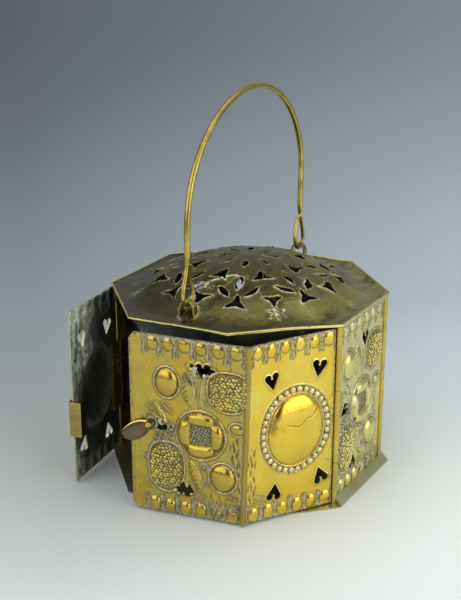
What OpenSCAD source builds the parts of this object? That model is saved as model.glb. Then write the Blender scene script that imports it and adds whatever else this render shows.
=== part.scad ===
// Eight sided brass foot warmer with a pierced dome, a bail handle and two door leaves.
// Millimetres, +Z up. The origin is the centre of the underside.
// The panel with grapes in the wide door leaf faces -Y when the doors are shut.

/* [Case] */
// Width of the case across its flats
case_flats = 214; // [200:1:216]
// Height of the lid's rim above the table
rim_height = 155; // [150:1:160]
// Thickness of the brass sheet
sheet = 1.2; // [0.8:0.1:1.4]
// Width of the base plate across its flats
base_flats = 230; // [226:1:236]
// Height of the sloping moulding round the foot
moulding_height = 6; // [5:0.5:8]
// Radius of the half round bead that covers a corner
bead_radius = 2.2; // [1.8:0.1:2.5]

/* [Lid] */
// Width of the lid across its flats
lid_flats = 220; // [218:1:226]
// Radius of the domed middle of the lid
dome_radius = 99; // [96:1:100]
// Rise of the dome above the rim
dome_rise = 28; // [24:1:30]

/* [Doors] */
// Width of the narrow leaf, from its hinge axis
narrow_leaf = 80.5; // [79:0.5:81]
// Width of the wide leaf's oval panel, from its hinge axis
side_leaf = 83; // [82:0.5:84]
// Width of the wide leaf's grape panel
front_leaf = 82; // [81:0.5:83]
// Width of the closing strip past the grape panel
closing_strip = 11; // [9:0.5:14]
// Angle by which the narrow leaf stands open
narrow_open = 39.6; // [20:0.1:60]
// Angle by which the wide leaf stands open
wide_open = 12; // [8:0.5:30]
// Outer radius of a hinge knuckle
knuckle_radius = 2.4; // [2.2:0.1:2.6]
// Radius of a hinge pin
pin_radius = 1.25; // [1:0.05:1.4]

/* [Handle] */
// Width of the bail between the middles of its legs
bail_width = 188; // [184:1:190]
// Height of the bail's top above the table
bail_top = 326; // [310:1:340]
// Diameter of the bail's wire
bail_wire = 4.6; // [4:0.2:5.2]
// Diameter of the wire in the end loops
loop_wire = 3.4; // [3:0.2:3.6]

/* [Pan] */
// Outer radius of the ember pan's rim
pan_radius = 68; // [60:1:70]
// Height of the ember pan
pan_height = 38; // [30:1:44]

/* [Hidden] */

big = 400;
half_corner = 22.5;
apothem = case_flats / 2;
corner_reach = apothem / cos(half_corner);
side_width = 2 * apothem * tan(half_corner);
base_top = sheet;
lid_under = rim_height - sheet;
hinge_x = apothem;
hinge_y = -apothem * tan(half_corner);
bore_radius = pin_radius + 0.05;
leaf_gap = 3;
door_bottom = base_top + 0.6;
door_top = lid_under - 1;
knuckle_low = 38;
knuckle_high = 101;
knuckle_gap = 0.4;
strap_sheet = 0.8;
strap_length = 12;
narrow_shut = -42;
narrow_rest = narrow_shut - narrow_open;
wide_shut = 45;
wide_rest = wide_shut + wide_open;
dome_sphere = (dome_radius * dome_radius + dome_rise * dome_rise) / (2 * dome_rise);
dome_centre = rim_height + dome_rise - dome_sphere;
eye_reach = 93;
eye_height = 168;
loop_radius = loop_wire / 2;
latch_height = 79;
latch_inset = 7;
button_droop = 31;
tail_height = 6.8;
keeper_low = 44;
keeper_high = 75;
repousse = 0.6;
strip_clip = 5;
oval_half = 24.7;
oval_middle = 74.8;
oval_shift = 4;
wall_egg_height = 11;
door_egg_height = 8.2;
grape_shift = 4;

// Shapes used by several pieces

module octagon(flats, height) {
    rotate([0, 0, half_corner]) cylinder(r = flats / 2 / cos(half_corner), h = height, $fn = 8);
}

// Puts a shape drawn for the -Y side on the side that faces the given angle
module on_side(angle) {
    rotate([0, 0, angle + 90]) translate([0, -apothem, 0]) children();
}

module narrow_leaf_place() {
    translate([-hinge_x, hinge_y, 0]) rotate([0, 0, narrow_rest]) children();
}

module wide_leaf_place() {
    translate([hinge_x, hinge_y, 0]) rotate([0, 0, wide_rest]) children();
}

module front_panel_place() {
    wide_leaf_place() translate([-side_leaf, 0, 0]) rotate([0, 0, -45]) children();
}

// A raised round boss on a sheet whose outer face is y = 0, drawn with its flat back in the sheet
module boss(x, z, radius, rise) {
    ball = (radius * radius + rise * rise) / (2 * rise);
    intersection() {
        translate([x, ball - rise, z]) sphere(r = ball, $fn = 64);
        translate([x - radius - 1, -rise - 1, z - radius - 1])
            cube([2 * radius + 2, rise + 1 + repousse, 2 * radius + 2]);
    }
}

// A heart with two round lobes and a point, cut through a sheet; turn leans it to the right
module heart(x, z, turn, lobe) {
    arm = 0.95 * lobe;
    translate([x, 5, z]) rotate([90, turn, 0]) linear_extrude(height = 10) union() {
        for (s = [-1, 1]) translate([s * 1.15 * lobe, lobe]) circle(r = arm, $fn = 32);
        scale(lobe) polygon([
            [0, -2.7], [1.96, 0.5], [1.15, 1], [0, 0.35], [-1.15, 1], [-1.96, 0.5]
        ]);
    }
}

// Barrel shaped solid whose face swells out of the sheet by the rise, as an oval
module oval_body(half_width, half_height, rise) {
    across = (half_width * half_width + rise * rise) / (2 * rise);
    upright = (half_height * half_height + rise * rise) / (2 * rise);
    translate([0, across - rise, 0]) rotate_extrude($fn = 96) intersection() {
        translate([across - upright, 0]) circle(r = upright, $fn = 128);
        translate([0, -2 * half_height]) square([2 * across, 4 * half_height]);
    }
}

module oval_boss(x, z, half_width, half_height, rise) {
    translate([x, 0, z]) intersection() {
        oval_body(half_width, half_height, rise);
        translate([-half_width - 1, -rise - 1, -half_height - 1])
            cube([2 * half_width + 2, rise + 1 + repousse, 2 * half_height + 2]);
    }
}

// The hollow that the punch leaves behind an oval boss
module oval_hollow(x, z, half_width, half_height, rise) {
    translate([x, sheet, z]) intersection() {
        oval_body(half_width - sheet, half_height - sheet, rise);
        translate([-half_width, -rise - 1, -half_height])
            cube([2 * half_width, rise + 2, 2 * half_height]);
    }
}

// Raised oval band of small beads round an oval boss, half sunk in the sheet
module bead_ring(x, z, half_width, half_height, count, radius) {
    intersection() {
        for (i = [0 : count - 1]) {
            turn = i * 360 / count;
            translate([x + half_width * cos(turn), 0.4, z + half_height * sin(turn)])
                sphere(r = radius, $fn = 16);
        }
        translate([x - 2 * half_width, -radius, z - 2 * half_height])
            cube([4 * half_width, radius + repousse, 4 * half_height]);
    }
}

// Round moulding that stands half out of the sheet
module round_moulding(x, z, radius, thickness) {
    translate([x, 0, z]) rotate([90, 0, 0]) rotate_extrude($fn = 96)
        translate([radius, 0]) circle(r = thickness, $fn = 16);
}

// Pointed leaf between two arcs, lying along x
module leaf_outline(length, width) {
    ball = (length * length / 4 + width * width / 4) / width;
    intersection() {
        translate([0, ball - width / 2]) circle(r = ball, $fn = 64);
        translate([0, width / 2 - ball]) circle(r = ball, $fn = 64);
    }
}

module raised_leaf(x, z, turn, length, width) {
    translate([x, 0.4, z]) rotate([90, 0, 0]) rotate([0, 0, turn])
        linear_extrude(height = 1.3) leaf_outline(length, width);
}

// Row of keyhole recesses along an edge; toward = 1 cuts down from z, -1 cuts up from it
module edge_drops(z, toward, from_x, to_x) {
    pitch = 13;
    count = floor((to_x - from_x) / pitch) + 1;
    start = (from_x + to_x - (count - 1) * pitch) / 2;
    depth = 0.5;
    for (i = [0 : count - 1]) translate([start + i * pitch, depth, z]) rotate([90, 0, 0])
        linear_extrude(height = 4) union() {
            polygon([
                [-3.2, toward], [3.2, toward], [1.1, -toward * 4.5], [1.1, -toward * 11.5],
                [-1.1, -toward * 11.5], [-1.1, -toward * 4.5]
            ]);
            translate([0, -toward * 12]) circle(r = 1.9, $fn = 24);
        }
}

// Row of raised eggs along the foot of a panel, between its drops
module foot_eggs(from_x, to_x, z) {
    pitch = 13;
    count = floor((to_x - from_x) / pitch);
    start = (from_x + to_x - (count - 1) * pitch) / 2;
    for (i = [0 : count - 1]) oval_boss(start + i * pitch, z, 4.7, 6.2, 2.4);
}

// Panel with one oval boss in a ring of beads and four hearts, centred on x = 0
module oval_relief() {
    oval_boss(0, oval_middle, oval_half, 30, 6);
    bead_ring(0, oval_middle, oval_half + 4.5, 34.8, 34, 2.5);
}

module oval_cuts() {
    oval_hollow(0, oval_middle, oval_half, 30, 6);
    heart(-22.4, 120.9, -10, 3.1);
    heart(20.1, 124, 9, 3.1);
    heart(-18.6, 23.9, 186, 3.1);
    heart(23.6, 29.4, 165, 3.1);
}

// Four cushions between a circle and a square, inside a round moulding
module roundel(x, z) {
    radius = 17.8;
    square_half = 8.2;
    round_moulding(x, z, 19.8, 1);
    difference() {
        boss(x, z, radius, 3.4);
        translate([x - square_half, -10, z - square_half]) cube([2 * square_half, 10, 2 * square_half]);
        for (turn = [45, 135]) translate([x, 0, z]) rotate([0, turn, 0]) translate([-1.2, -10, -30])
            cube([2.4, 10, 60]);
    }
}

// Panel with a roundel, two discs, leaves and two bunches of grapes, centred on x = 0
module grape_relief() {
    oval_boss(-25, 114.8, 9.1, 11.9, 4);
    oval_boss(20, 39.8, 9.8, 11.6, 4);
    oval_boss(23, 113, 15, 15.6, 3.4);
    oval_boss(-26.5, 42.5, 14, 19.8, 3.4);
    roundel(2, 74);
    raised_leaf(-5.5, 115, 106, 32, 10);
    raised_leaf(-21.5, 91, 153, 27, 8);
    raised_leaf(-2, 39, -75, 34, 8);
}

module grape_cuts() {
    oval_hollow(-25, 114.8, 9.1, 11.9, 4);
    oval_hollow(20, 39.8, 9.8, 11.6, 4);
    oval_hollow(23, 113, 15, 15.6, 3.4);
    oval_hollow(-26.5, 42.5, 14, 19.8, 3.4);
    heart(4.5, 129, 0, 2.8);
    heart(-31, 78, 60, 2.6);
    heart(-12, 25, 180, 2.8);
}

// Case

module base_plate() {
    color("darkgoldenrod") octagon(base_flats, sheet);
}

module foot_moulding() {
    reach = base_flats / 2;
    color("darkgoldenrod") for (angle = [0 : 45 : 180]) difference() {
        rotate([0, 0, angle - 90]) intersection() {
            rotate([90, 0, 90]) linear_extrude(height = big, center = true) polygon([
                [apothem, base_top], [reach, base_top], [reach, base_top + 1],
                [apothem + 1.2, moulding_height], [apothem, moulding_height]
            ]);
            linear_extrude(height = big, center = true) polygon([
                [0, 0], [big * sin(half_corner), big * cos(half_corner)],
                [-big * sin(half_corner), big * cos(half_corner)]
            ]);
        }
        for (s = [-1, 1]) translate([s * hinge_x, hinge_y, 0])
            cylinder(r = knuckle_radius + 0.1, h = big, $fn = 32);
    }
}

// Plain sheet of one wall, mitred at its ends
module wall_sheet() {
    inner = side_width / 2 - sheet * tan(half_corner);
    translate([0, 0, base_top]) linear_extrude(height = lid_under - base_top) polygon([
        [-side_width / 2, 0], [side_width / 2, 0], [inner, sheet], [-inner, sheet]
    ]);
}

// Room at a wall's ends for its corner beads, and for the knuckles at a hinged end
module wall_ends(cut_left, cut_right) {
    if (cut_left) translate([-side_width / 2 - 1, -8, 0]) cube([leaf_gap + 1, 12, big]);
    if (cut_right) translate([side_width / 2 - leaf_gap, -8, 0]) cube([leaf_gap + 1, 12, big]);
    for (end = [-1, 1]) translate([end * side_width / 2, 0, moulding_height])
        cylinder(r = bead_radius, h = big, $fn = 32);
}

// Drops along a wall's edges, and room for the moulding at its foot
module wall_edges() {
    edge_drops(lid_under, 1, -41, 41);
    edge_drops(base_top, -1, -41, 41);
    translate([-side_width / 2, -8, 0]) cube([side_width, 8, moulding_height + 0.05]);
}

module grape_wall(cut_left, cut_right) {
    difference() {
        union() {
            wall_sheet();
            grape_relief();
            foot_eggs(-39, 39, wall_egg_height);
        }
        grape_cuts();
        wall_edges();
        wall_ends(cut_left, cut_right);
    }
}

module oval_wall() {
    difference() {
        union() {
            wall_sheet();
            oval_relief();
            foot_eggs(-39, 39, wall_egg_height);
        }
        oval_cuts();
        wall_edges();
        wall_ends(false, false);
    }
}

module wall_right() {
    color("goldenrod") on_side(0) grape_wall(true, false);
}

module wall_back_right() {
    color("goldenrod") on_side(45) oval_wall();
}

module wall_back() {
    color("goldenrod") on_side(90) grape_wall(false, false);
}

module wall_back_left() {
    color("goldenrod") on_side(135) oval_wall();
}

module wall_left() {
    color("goldenrod") on_side(180) grape_wall(false, true);
}

module corner_beads() {
    color("gold") for (angle = [half_corner : 45 : 160]) rotate([0, 0, angle])
        translate([corner_reach, 0, moulding_height])
            cylinder(r = bead_radius, h = lid_under - moulding_height, $fn = 32);
}

module rim_strips() {
    strip_height = 4;
    strip_end = side_width / 2 - bead_radius - 1;
    color("khaki") for (angle = [0 : 45 : 180]) on_side(angle)
        translate([-strip_end, -0.9, lid_under - strip_height])
            cube([2 * strip_end, 0.9, strip_height]);
}

// Point where two lines meet, each given by a point and a direction in degrees
function meet(p, a, q, b) =
    let (t = ((q[0] - p[0]) * sin(b) - (q[1] - p[1]) * cos(b)) / sin(b - a))
    [p[0] + t * cos(a), p[1] + t * sin(a)];

// Points of a line round the shut doors, moved inwards by a distance
function door_line(inset) =
    let (
        right = [hinge_x, hinge_y],
        left = [-hinge_x, hinge_y],
        front = [hinge_x - side_leaf * cos(45), hinge_y - side_leaf * sin(45)],
        p = [right[0] - inset * sin(45), right[1] + inset * cos(45)],
        q = [front[0], front[1] + inset],
        r = [left[0] - inset * sin(narrow_shut), left[1] + inset * cos(narrow_shut)],
        wall_x = apothem - sheet - strap_sheet
    )
    [
        meet([wall_x, 0], 90, p, 45), meet(p, 45, q, 0), meet(q, 0, r, narrow_shut),
        meet(r, narrow_shut, [-wall_x, 0], 90)
    ];

// Inner band under the lid against which the leaves close
module door_stop_band() {
    outer = door_line(2.6);
    inner = door_line(3.6);
    band_height = 15;
    color("dimgray") translate([0, 0, lid_under - band_height]) linear_extrude(height = band_height)
        polygon([outer[0], outer[1], outer[2], outer[3], inner[3], inner[2], inner[1], inner[0]]);
}

// Pan

module coal_pan() {
    wall = 1.4;
    floor_radius = 46;
    roll = 1.8;
    color("darkslategray") translate([0, 0, base_top]) rotate_extrude($fn = 96) union() {
        polygon([
            [0, 0], [floor_radius, 0], [pan_radius - roll, pan_height - roll],
            [pan_radius - roll - wall, pan_height - roll], [floor_radius - wall / 2, wall], [0, wall]
        ]);
        translate([pan_radius - roll, pan_height - roll]) circle(r = roll, $fn = 24);
    }
}

// Lid

// Three pointed opening with hollow sides, its first point along x
module star_hole(reach) {
    hollowness = 0.62;
    difference() {
        circle(r = reach, $fn = 3);
        for (turn = [60, 180, 300]) rotate(turn)
            translate([reach * (0.5 + hollowness * 1.15), 0]) circle(r = reach * 0.8, $fn = 32);
    }
}

module lid_holes() {
    for (i = [0 : 7]) rotate(i * 45) {
        rotate(half_corner) translate([21, 0]) leaf_outline(17, 6);
        translate([44, 0]) rotate(180) star_hole(11);
        rotate(half_corner) translate([52, 0]) leaf_outline(20, 7);
        for (s = [-1, 1]) rotate(s * 12) translate([64, 0]) rotate(s * 50) leaf_outline(19, 6.5);
        translate([75, 0]) star_hole(10);
        rotate(half_corner) translate([76, 0]) rotate(180) star_hole(11);
    }
}

module lid() {
    color("olive") difference() {
        union() {
            difference() {
                translate([0, 0, lid_under]) octagon(lid_flats, sheet);
                translate([0, 0, dome_centre]) sphere(r = dome_sphere - sheet / 2, $fn = 180);
            }
            intersection() {
                difference() {
                    translate([0, 0, dome_centre]) sphere(r = dome_sphere, $fn = 180);
                    translate([0, 0, dome_centre]) sphere(r = dome_sphere - sheet, $fn = 180);
                }
                translate([0, 0, lid_under]) cylinder(r = dome_radius + 2, h = 60, $fn = 96);
            }
        }
        translate([0, 0, lid_under]) linear_extrude(height = 60) lid_holes();
        for (s = [-1, 1]) translate([0, s * eye_reach, 0]) cylinder(r = 1.62, h = big, $fn = 96);
    }
}

// Ring, collar and shank of one eye
module bail_eye() {
    ring_radius = 4.2;
    ring_width = 2.6;
    shank_radius = 1.6;
    collar_radius = 3.2;
    difference() {
        union() {
            translate([0, 0, eye_height]) rotate([90, 0, 0])
                cylinder(r = ring_radius, h = ring_width, center = true, $fn = 48);
            translate([0, 0, lid_under - 0.6])
                cylinder(r = shank_radius, h = eye_height - lid_under - 3, $fn = 32);
            translate([0, -eye_reach, 0]) difference() {
                translate([0, eye_reach, lid_under]) cylinder(r = collar_radius, h = 8, $fn = 32);
                translate([0, 0, dome_centre]) sphere(r = dome_sphere, $fn = 180);
            }
        }
        translate([0, 0, eye_height]) rotate([90, 0, 0])
            cylinder(r = loop_radius + 0.05, h = 20, center = true, $fn = 48);
    }
}

module bail_eye_front() {
    color("goldenrod") mirror([0, 1, 0]) translate([0, eye_reach, 0]) bail_eye();
}

module bail_eye_back() {
    color("goldenrod") translate([0, eye_reach, 0]) bail_eye();
}

module eye_rivet_heads() {
    color("goldenrod") for (s = [-1, 1]) difference() {
        intersection() {
            translate([0, s * eye_reach, lid_under - 0.6]) cylinder(r = 3.2, h = 7, $fn = 96);
            translate([0, 0, dome_centre]) sphere(r = dome_sphere - sheet, $fn = 240);
        }
        translate([0, s * eye_reach, 0]) cylinder(r = 1.62, h = big, $fn = 96);
    }
}

// Hinges

// Tube round the hinge axis between two heights, without its bore
module knuckle_tube(from_z, to_z) {
    translate([0, 0, from_z]) cylinder(r = knuckle_radius, h = to_z - from_z, $fn = 48);
}

module hinge_bore() {
    translate([0, 0, -1]) cylinder(r = bore_radius, h = big, $fn = 48);
}

// Strap on the inner face of a sheet that runs along +x from the axis, with -y outside
module hinge_strap(from_z, to_z) {
    translate([0.8, sheet, from_z]) cube([strap_length, strap_sheet, to_z - from_z]);
}

module case_knuckles() {
    difference() {
        for (span = [[base_top, knuckle_low], [knuckle_high, lid_under]]) {
            knuckle_tube(span[0], span[1]);
            hinge_strap(span[0], span[1]);
        }
        hinge_bore();
    }
}

module case_knuckles_right() {
    color("gold") translate([hinge_x, hinge_y, 0]) rotate([0, 0, 90]) case_knuckles();
}

module case_knuckles_left() {
    color("gold") translate([-hinge_x, hinge_y, 0]) mirror([1, 0, 0]) rotate([0, 0, 90]) case_knuckles();
}

module hinge_pin() {
    translate([0, 0, base_top]) cylinder(r = pin_radius, h = lid_under - base_top, $fn = 48);
}

module hinge_pin_right() {
    color("gray") translate([hinge_x, hinge_y, 0]) hinge_pin();
}

module hinge_pin_left() {
    color("gray") translate([-hinge_x, hinge_y, 0]) hinge_pin();
}

// Long knuckle of a leaf that runs along +x from the axis
module leaf_knuckle() {
    difference() {
        union() {
            knuckle_tube(knuckle_low + knuckle_gap, knuckle_high - knuckle_gap);
            hinge_strap(knuckle_low + knuckle_gap, knuckle_high - knuckle_gap);
        }
        hinge_bore();
    }
}

// Doors

module leaf_sheet(from_x, to_x) {
    translate([from_x, 0, door_bottom]) cube([to_x - from_x, sheet, door_top - door_bottom]);
}

module leaf_edges(middle) {
    edge_drops(door_top, 1, middle - 39, middle + 39);
    edge_drops(door_bottom, -1, middle - 39, middle + 39);
}

module narrow_door_panel() {
    middle = narrow_leaf / 2 + 1;
    color("goldenrod") narrow_leaf_place() difference() {
        union() {
            leaf_sheet(leaf_gap, narrow_leaf);
            translate([middle, 0, 0]) oval_relief();
            foot_eggs(middle - 39, middle + 39, door_egg_height);
        }
        translate([middle, 0, 0]) oval_cuts();
        leaf_edges(middle);
    }
}

module narrow_door_knuckle() {
    color("gold") narrow_leaf_place() leaf_knuckle();
}

// Folded strip round the free edge that takes the latch's hook
module keeper_sleeve() {
    strip = 0.9;
    edge = narrow_leaf + 1.7;
    color("gold") narrow_leaf_place() translate([0, 0, keeper_low])
        linear_extrude(height = keeper_high - keeper_low) difference() {
            polygon([
                [72, sheet], [72, sheet + strip], [73, sheet + 6.9], [edge - 1, sheet + 6.9],
                [edge, sheet + 5.9], [edge, -2], [edge - 1, -3], [77, -3], [75, 0], [narrow_leaf, 0],
                [narrow_leaf, sheet]
            ]);
            polygon([
                [72.9, sheet], [73.8, sheet + 6], [edge - 1.3, sheet + 6], [edge - strip, sheet + 5.6],
                [edge - strip, -1.7], [edge - 1.3, -2.1], [77.4, -2.1], [76.3, 0], [narrow_leaf, 0],
                [narrow_leaf, sheet]
            ]);
        }
}

module wide_door_side_panel() {
    middle = -side_leaf / 2 + oval_shift;
    color("goldenrod") wide_leaf_place() difference() {
        union() {
            leaf_sheet(-side_leaf, -leaf_gap);
            translate([middle, 0, 0]) oval_relief();
            foot_eggs(-side_leaf / 2 - 39, -side_leaf / 2 + 39, door_egg_height);
        }
        translate([middle, 0, 0]) oval_cuts();
        leaf_edges(-side_leaf / 2);
        translate([-side_leaf, 0, 0]) bead_solid();
        translate([-side_leaf, 0, 0]) rotate([0, 0, half_corner - 45 - 90]) cube([5, 5, big]);
    }
}

module wide_door_front_panel() {
    middle = -front_leaf / 2 + grape_shift;
    color("goldenrod") front_panel_place() difference() {
        union() {
            leaf_sheet(-front_leaf - closing_strip, 0);
            translate([middle, 0, 0]) grape_relief();
            foot_eggs(-front_leaf / 2 - 39, -front_leaf / 2 + 39, door_egg_height);
        }
        translate([middle, 0, 0]) grape_cuts();
        leaf_edges(-front_leaf / 2);
        for (z = [door_bottom, door_top]) translate([-front_leaf - closing_strip, 0, z])
            rotate([0, 45, 0]) cube([strip_clip, 4, strip_clip], center = true);
        bead_solid();
        translate([-0.5, -8, 0]) cube([8, 8, big]);
        rotate([0, 0, -half_corner]) cube([5, 5, big]);
        latch_bore();
    }
}

module bead_solid() {
    translate([0, 0, door_bottom]) cylinder(r = bead_radius, h = door_top - door_bottom, $fn = 32);
}

module wide_door_bead() {
    color("gold") front_panel_place() bead_solid();
}

module wide_door_knuckle() {
    color("gold") wide_leaf_place() mirror([1, 0, 0]) leaf_knuckle();
}

// Latch

module latch_place() {
    front_panel_place() translate([-front_leaf + latch_inset, 0, latch_height]) children();
}

module latch_bore() {
    translate([-front_leaf + latch_inset, 0, latch_height]) rotate([90, 0, 0])
        cylinder(r = 1.56, h = 20, center = true, $fn = 48);
}

module latch_washer() {
    color("darkkhaki") latch_place() rotate([90, 0, 0]) difference() {
        cylinder(r = 5.5, h = 0.8, $fn = 48);
        translate([0, 0, -1]) cylinder(r = 1.6, h = 4, $fn = 48);
    }
}

// Leaf shaped button whose face is tilted towards the top
module latch_button() {
    length = 29.5;
    width = 12;
    tilt = 28;
    color("darkgoldenrod") latch_place() rotate([0, 180 - button_droop, 0]) difference() {
        union() {
            rotate([90, 0, 0]) intersection() {
                translate([length / 2 - 4, 0, 1]) linear_extrude(height = 12) leaf_outline(length, width);
                translate([0, 0, 5.6]) rotate([tilt, 0, 0]) translate([-8, -10, -1.3]) cube([40, 20, 2.6]);
            }
            rotate([90, 0, 0]) translate([0, 0, 1]) cylinder(r = 3.6, h = 5, $fn = 48);
        }
        rotate([90, 0, 0]) cylinder(r = 1.52, h = 20, $fn = 48);
        rotate([90, 0, 0]) translate([0, 0, 6]) cylinder(r = 2.7, h = 10, $fn = 48);
    }
}

module latch_spindle() {
    color("gold") latch_place() rotate([90, 0, 0]) {
        translate([0, 0, -5.2]) cylinder(r = 1.5, h = 11.2, $fn = 48);
        translate([0, 0, 6]) cylinder(r = 2.6, h = 1.2, $fn = 48);
        translate([0, 0, -5.2]) cylinder(r = 2.6, h = 1, $fn = 48);
    }
}

// Cranked strip behind the panel with a hook that drops into the keeper
module latch_tail() {
    strip = 1.6;
    start = 2.6;
    hook = 3;
    hook_drop = 9.5;
    crank = 138;
    hook_at = [-19.9, 9.3];
    bend_x = -13.6;
    run = 8.2;
    color("goldenrod") latch_place() difference() {
        union() {
            translate([0, 0, -tail_height / 2]) linear_extrude(height = tail_height) union() {
                translate([bend_x, start]) square([17, strip]);
                translate([bend_x, start]) rotate(crank) translate([0, -strip]) square([run, strip]);
            }
            translate([hook_at[0], hook_at[1], -hook_drop]) linear_extrude(height = hook_drop + tail_height / 2)
                rotate(narrow_shut) square([hook, hook], center = true);
        }
        rotate([90, 0, 0]) cylinder(r = 1.52, h = 40, center = true, $fn = 48);
    }
}

// Bail

arch_shift = 8;
arch_top = bail_top - bail_wire / 2;
left_arch = bail_width / 2 + arch_shift;
right_arch = bail_width / 2 - arch_shift;
leg_foot = 200;
bar_half = 3.4;
loop_half = 5.4;
loop_widest = eye_height + 5;

// Straight wire between two points of the bail's plane
module wire(p, q, radius) {
    run = [q[0] - p[0], q[1] - p[1]];
    length = sqrt(run[0] * run[0] + run[1] * run[1]);
    translate([0, p[0], p[1]]) rotate([-atan2(run[0], run[1]), 0, 0])
        cylinder(r = radius, h = length, $fn = 32);
}

// Bent wire about a point of the bail's plane
module bend(centre, reach, start, sweep, radius) {
    translate([0, centre[0], centre[1]]) rotate([90, 0, 90]) rotate([0, 0, start])
        rotate_extrude(angle = sweep, $fn = 96) translate([reach, 0]) circle(r = radius, $fn = 24);
}

// Rounded corner of a wire, a little fuller than the wire itself
module corner(p, radius) {
    translate([0, p[0], p[1]]) sphere(r = radius + 0.12, $fn = 24);
}

// Loop that hangs in an eye; the eye is at y = 0 and the leg at y = leg
module end_loop(leg) {
    wire([-bar_half, eye_height], [bar_half, eye_height], loop_radius);
    for (s = [-1, 1]) {
        corner([s * bar_half, eye_height], loop_radius);
        wire([s * bar_half, eye_height], [s * loop_half, loop_widest], loop_radius);
        corner([s * loop_half, loop_widest], loop_radius);
        wire([s * loop_half, loop_widest], [leg, leg_foot], loop_radius);
    }
    corner([leg, leg_foot], bail_wire / 2);
}

module bail_leg(arch) {
    leg_y = bail_width / 2;
    wire([leg_y, leg_foot], [leg_y, arch_top - arch], bail_wire / 2);
    translate([0, eye_reach, 0]) end_loop(leg_y - eye_reach);
}

module bail() {
    color("gold") {
        bend([arch_shift, arch_top - right_arch], right_arch, 0, 90, bail_wire / 2);
        bend([arch_shift, arch_top - left_arch], left_arch, 90, 90, bail_wire / 2);
        bail_leg(right_arch);
        mirror([0, 1, 0]) bail_leg(left_arch);
    }
}

base_plate();
foot_moulding();
coal_pan();
wall_right();
wall_back_right();
wall_back();
wall_back_left();
wall_left();
corner_beads();
rim_strips();
door_stop_band();
lid();
bail_eye_front();
bail_eye_back();
eye_rivet_heads();
case_knuckles_right();
case_knuckles_left();
hinge_pin_right();
hinge_pin_left();
narrow_door_panel();
narrow_door_knuckle();
keeper_sleeve();
wide_door_front_panel();
wide_door_side_panel();
wide_door_bead();
wide_door_knuckle();
latch_washer();
latch_button();
latch_spindle();
latch_tail();
bail();
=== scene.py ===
"""Looks of the eight sided brass foot warmer: repousse panels, pierced lid, wire bail, latch, studio."""

import math

import bpy
import numpy as np
from mathutils import Matrix, Vector


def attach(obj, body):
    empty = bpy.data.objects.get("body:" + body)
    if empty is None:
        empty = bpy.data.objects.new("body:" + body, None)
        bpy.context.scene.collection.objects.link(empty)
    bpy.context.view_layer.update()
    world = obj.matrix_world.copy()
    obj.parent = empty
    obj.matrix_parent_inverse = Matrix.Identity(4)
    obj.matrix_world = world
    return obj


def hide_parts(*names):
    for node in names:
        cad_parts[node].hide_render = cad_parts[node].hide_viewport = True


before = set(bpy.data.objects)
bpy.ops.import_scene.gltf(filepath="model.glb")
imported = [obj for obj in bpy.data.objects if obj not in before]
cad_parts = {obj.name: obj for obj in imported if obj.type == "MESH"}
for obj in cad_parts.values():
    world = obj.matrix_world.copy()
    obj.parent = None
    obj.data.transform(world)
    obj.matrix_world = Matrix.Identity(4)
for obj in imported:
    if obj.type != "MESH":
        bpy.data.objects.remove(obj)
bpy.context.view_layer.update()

MM = 0.001
HALF_CORNER = math.radians(22.5)
APOTHEM = 107.0
HALF_SIDE = APOTHEM * math.tan(HALF_CORNER)
HINGE_X, HINGE_Y = APOTHEM, -HALF_SIDE
SHEET = 1.2
BASE_TOP = 1.2
LID_UNDER = 153.8
DOOR_BOTTOM, DOOR_TOP = 1.8, 152.8
NARROW_REST = math.radians(-81.6)
WIDE_REST = math.radians(57.0)
SIDE_LEAF, FRONT_LEAF, NARROW_LEAF = 83.0, 82.0, 80.5
CLOSING_STRIP = 11.0
LATCH_INSET, LATCH_HEIGHT, LATCH_DROOP = 7.0, 79.0, 31.0
DOME_CENTRE, DOME_SPHERE = -6.0, 189.0
EYE_REACH = 93.0
LID_REACH, RIM_FLAT = 110.0, 155.0
BAIL_TOP, BAIL_LEG = 323.7, 94.0
ARCH_SHIFT, LEFT_ARCH, RIGHT_ARCH = 8, 102, 86
VIEW_HEADING, VIEW_PITCH = math.radians(30.84), math.radians(19.0)
VIEW_REACH = 0.887


# Placing: panels are drawn in millimetres with x along the panel, y inwards and z up


def turn(angle):
    return Matrix.Rotation(angle, 4, "Z")


def shift(x, y, z=0.0):
    return Matrix.Translation(Vector((x, y, z)))


def side_place(angle):
    return turn(math.radians(angle + 90)) @ shift(0, -APOTHEM)


WIDE_PLACE = shift(HINGE_X, HINGE_Y) @ turn(WIDE_REST)
FRONT_PLACE = WIDE_PLACE @ shift(-SIDE_LEAF, 0) @ turn(math.radians(-45))
NARROW_PLACE = shift(-HINGE_X, HINGE_Y) @ turn(NARROW_REST)
TO_METRES = Matrix.Scale(MM, 4)


# Small field functions on numpy arrays


def ease(low, high, value):
    t = np.clip((value - low) / (high - low), 0, 1)
    return t * t * (3 - 2 * t)


def bump(distance, width):
    return np.exp(-((distance / width) ** 2))


def ripple(x, z, seed, size):
    """Smooth hand-made unevenness between -1 and 1, with features of about the size."""
    k = 2 * math.pi / size
    a = np.sin(k * (x * 0.9 + z * 0.37) + seed) * np.sin(k * (z * 0.83 - x * 0.29) + 1.7 * seed)
    b = np.sin(k * 1.9 * (x * 0.31 - z * 0.72) + 2.3 * seed)
    return 0.65 * a + 0.35 * (b * np.sin(k * 1.7 * (x * 0.77 + z * 0.21) + 0.6 * seed))


def oval(x, z, cx, cz, a, b):
    """Normalised radius of an ellipse, and the distance outside it along that radius."""
    q = np.sqrt(((x - cx) / a) ** 2 + ((z - cz) / b) ** 2) + 1e-6
    r = np.hypot(x - cx, z - cz)
    return q, r * (1 - 1 / q)


def dome(q, height, power=0.6):
    return height * np.clip(1 - q * q, 0, 1) ** power


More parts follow.
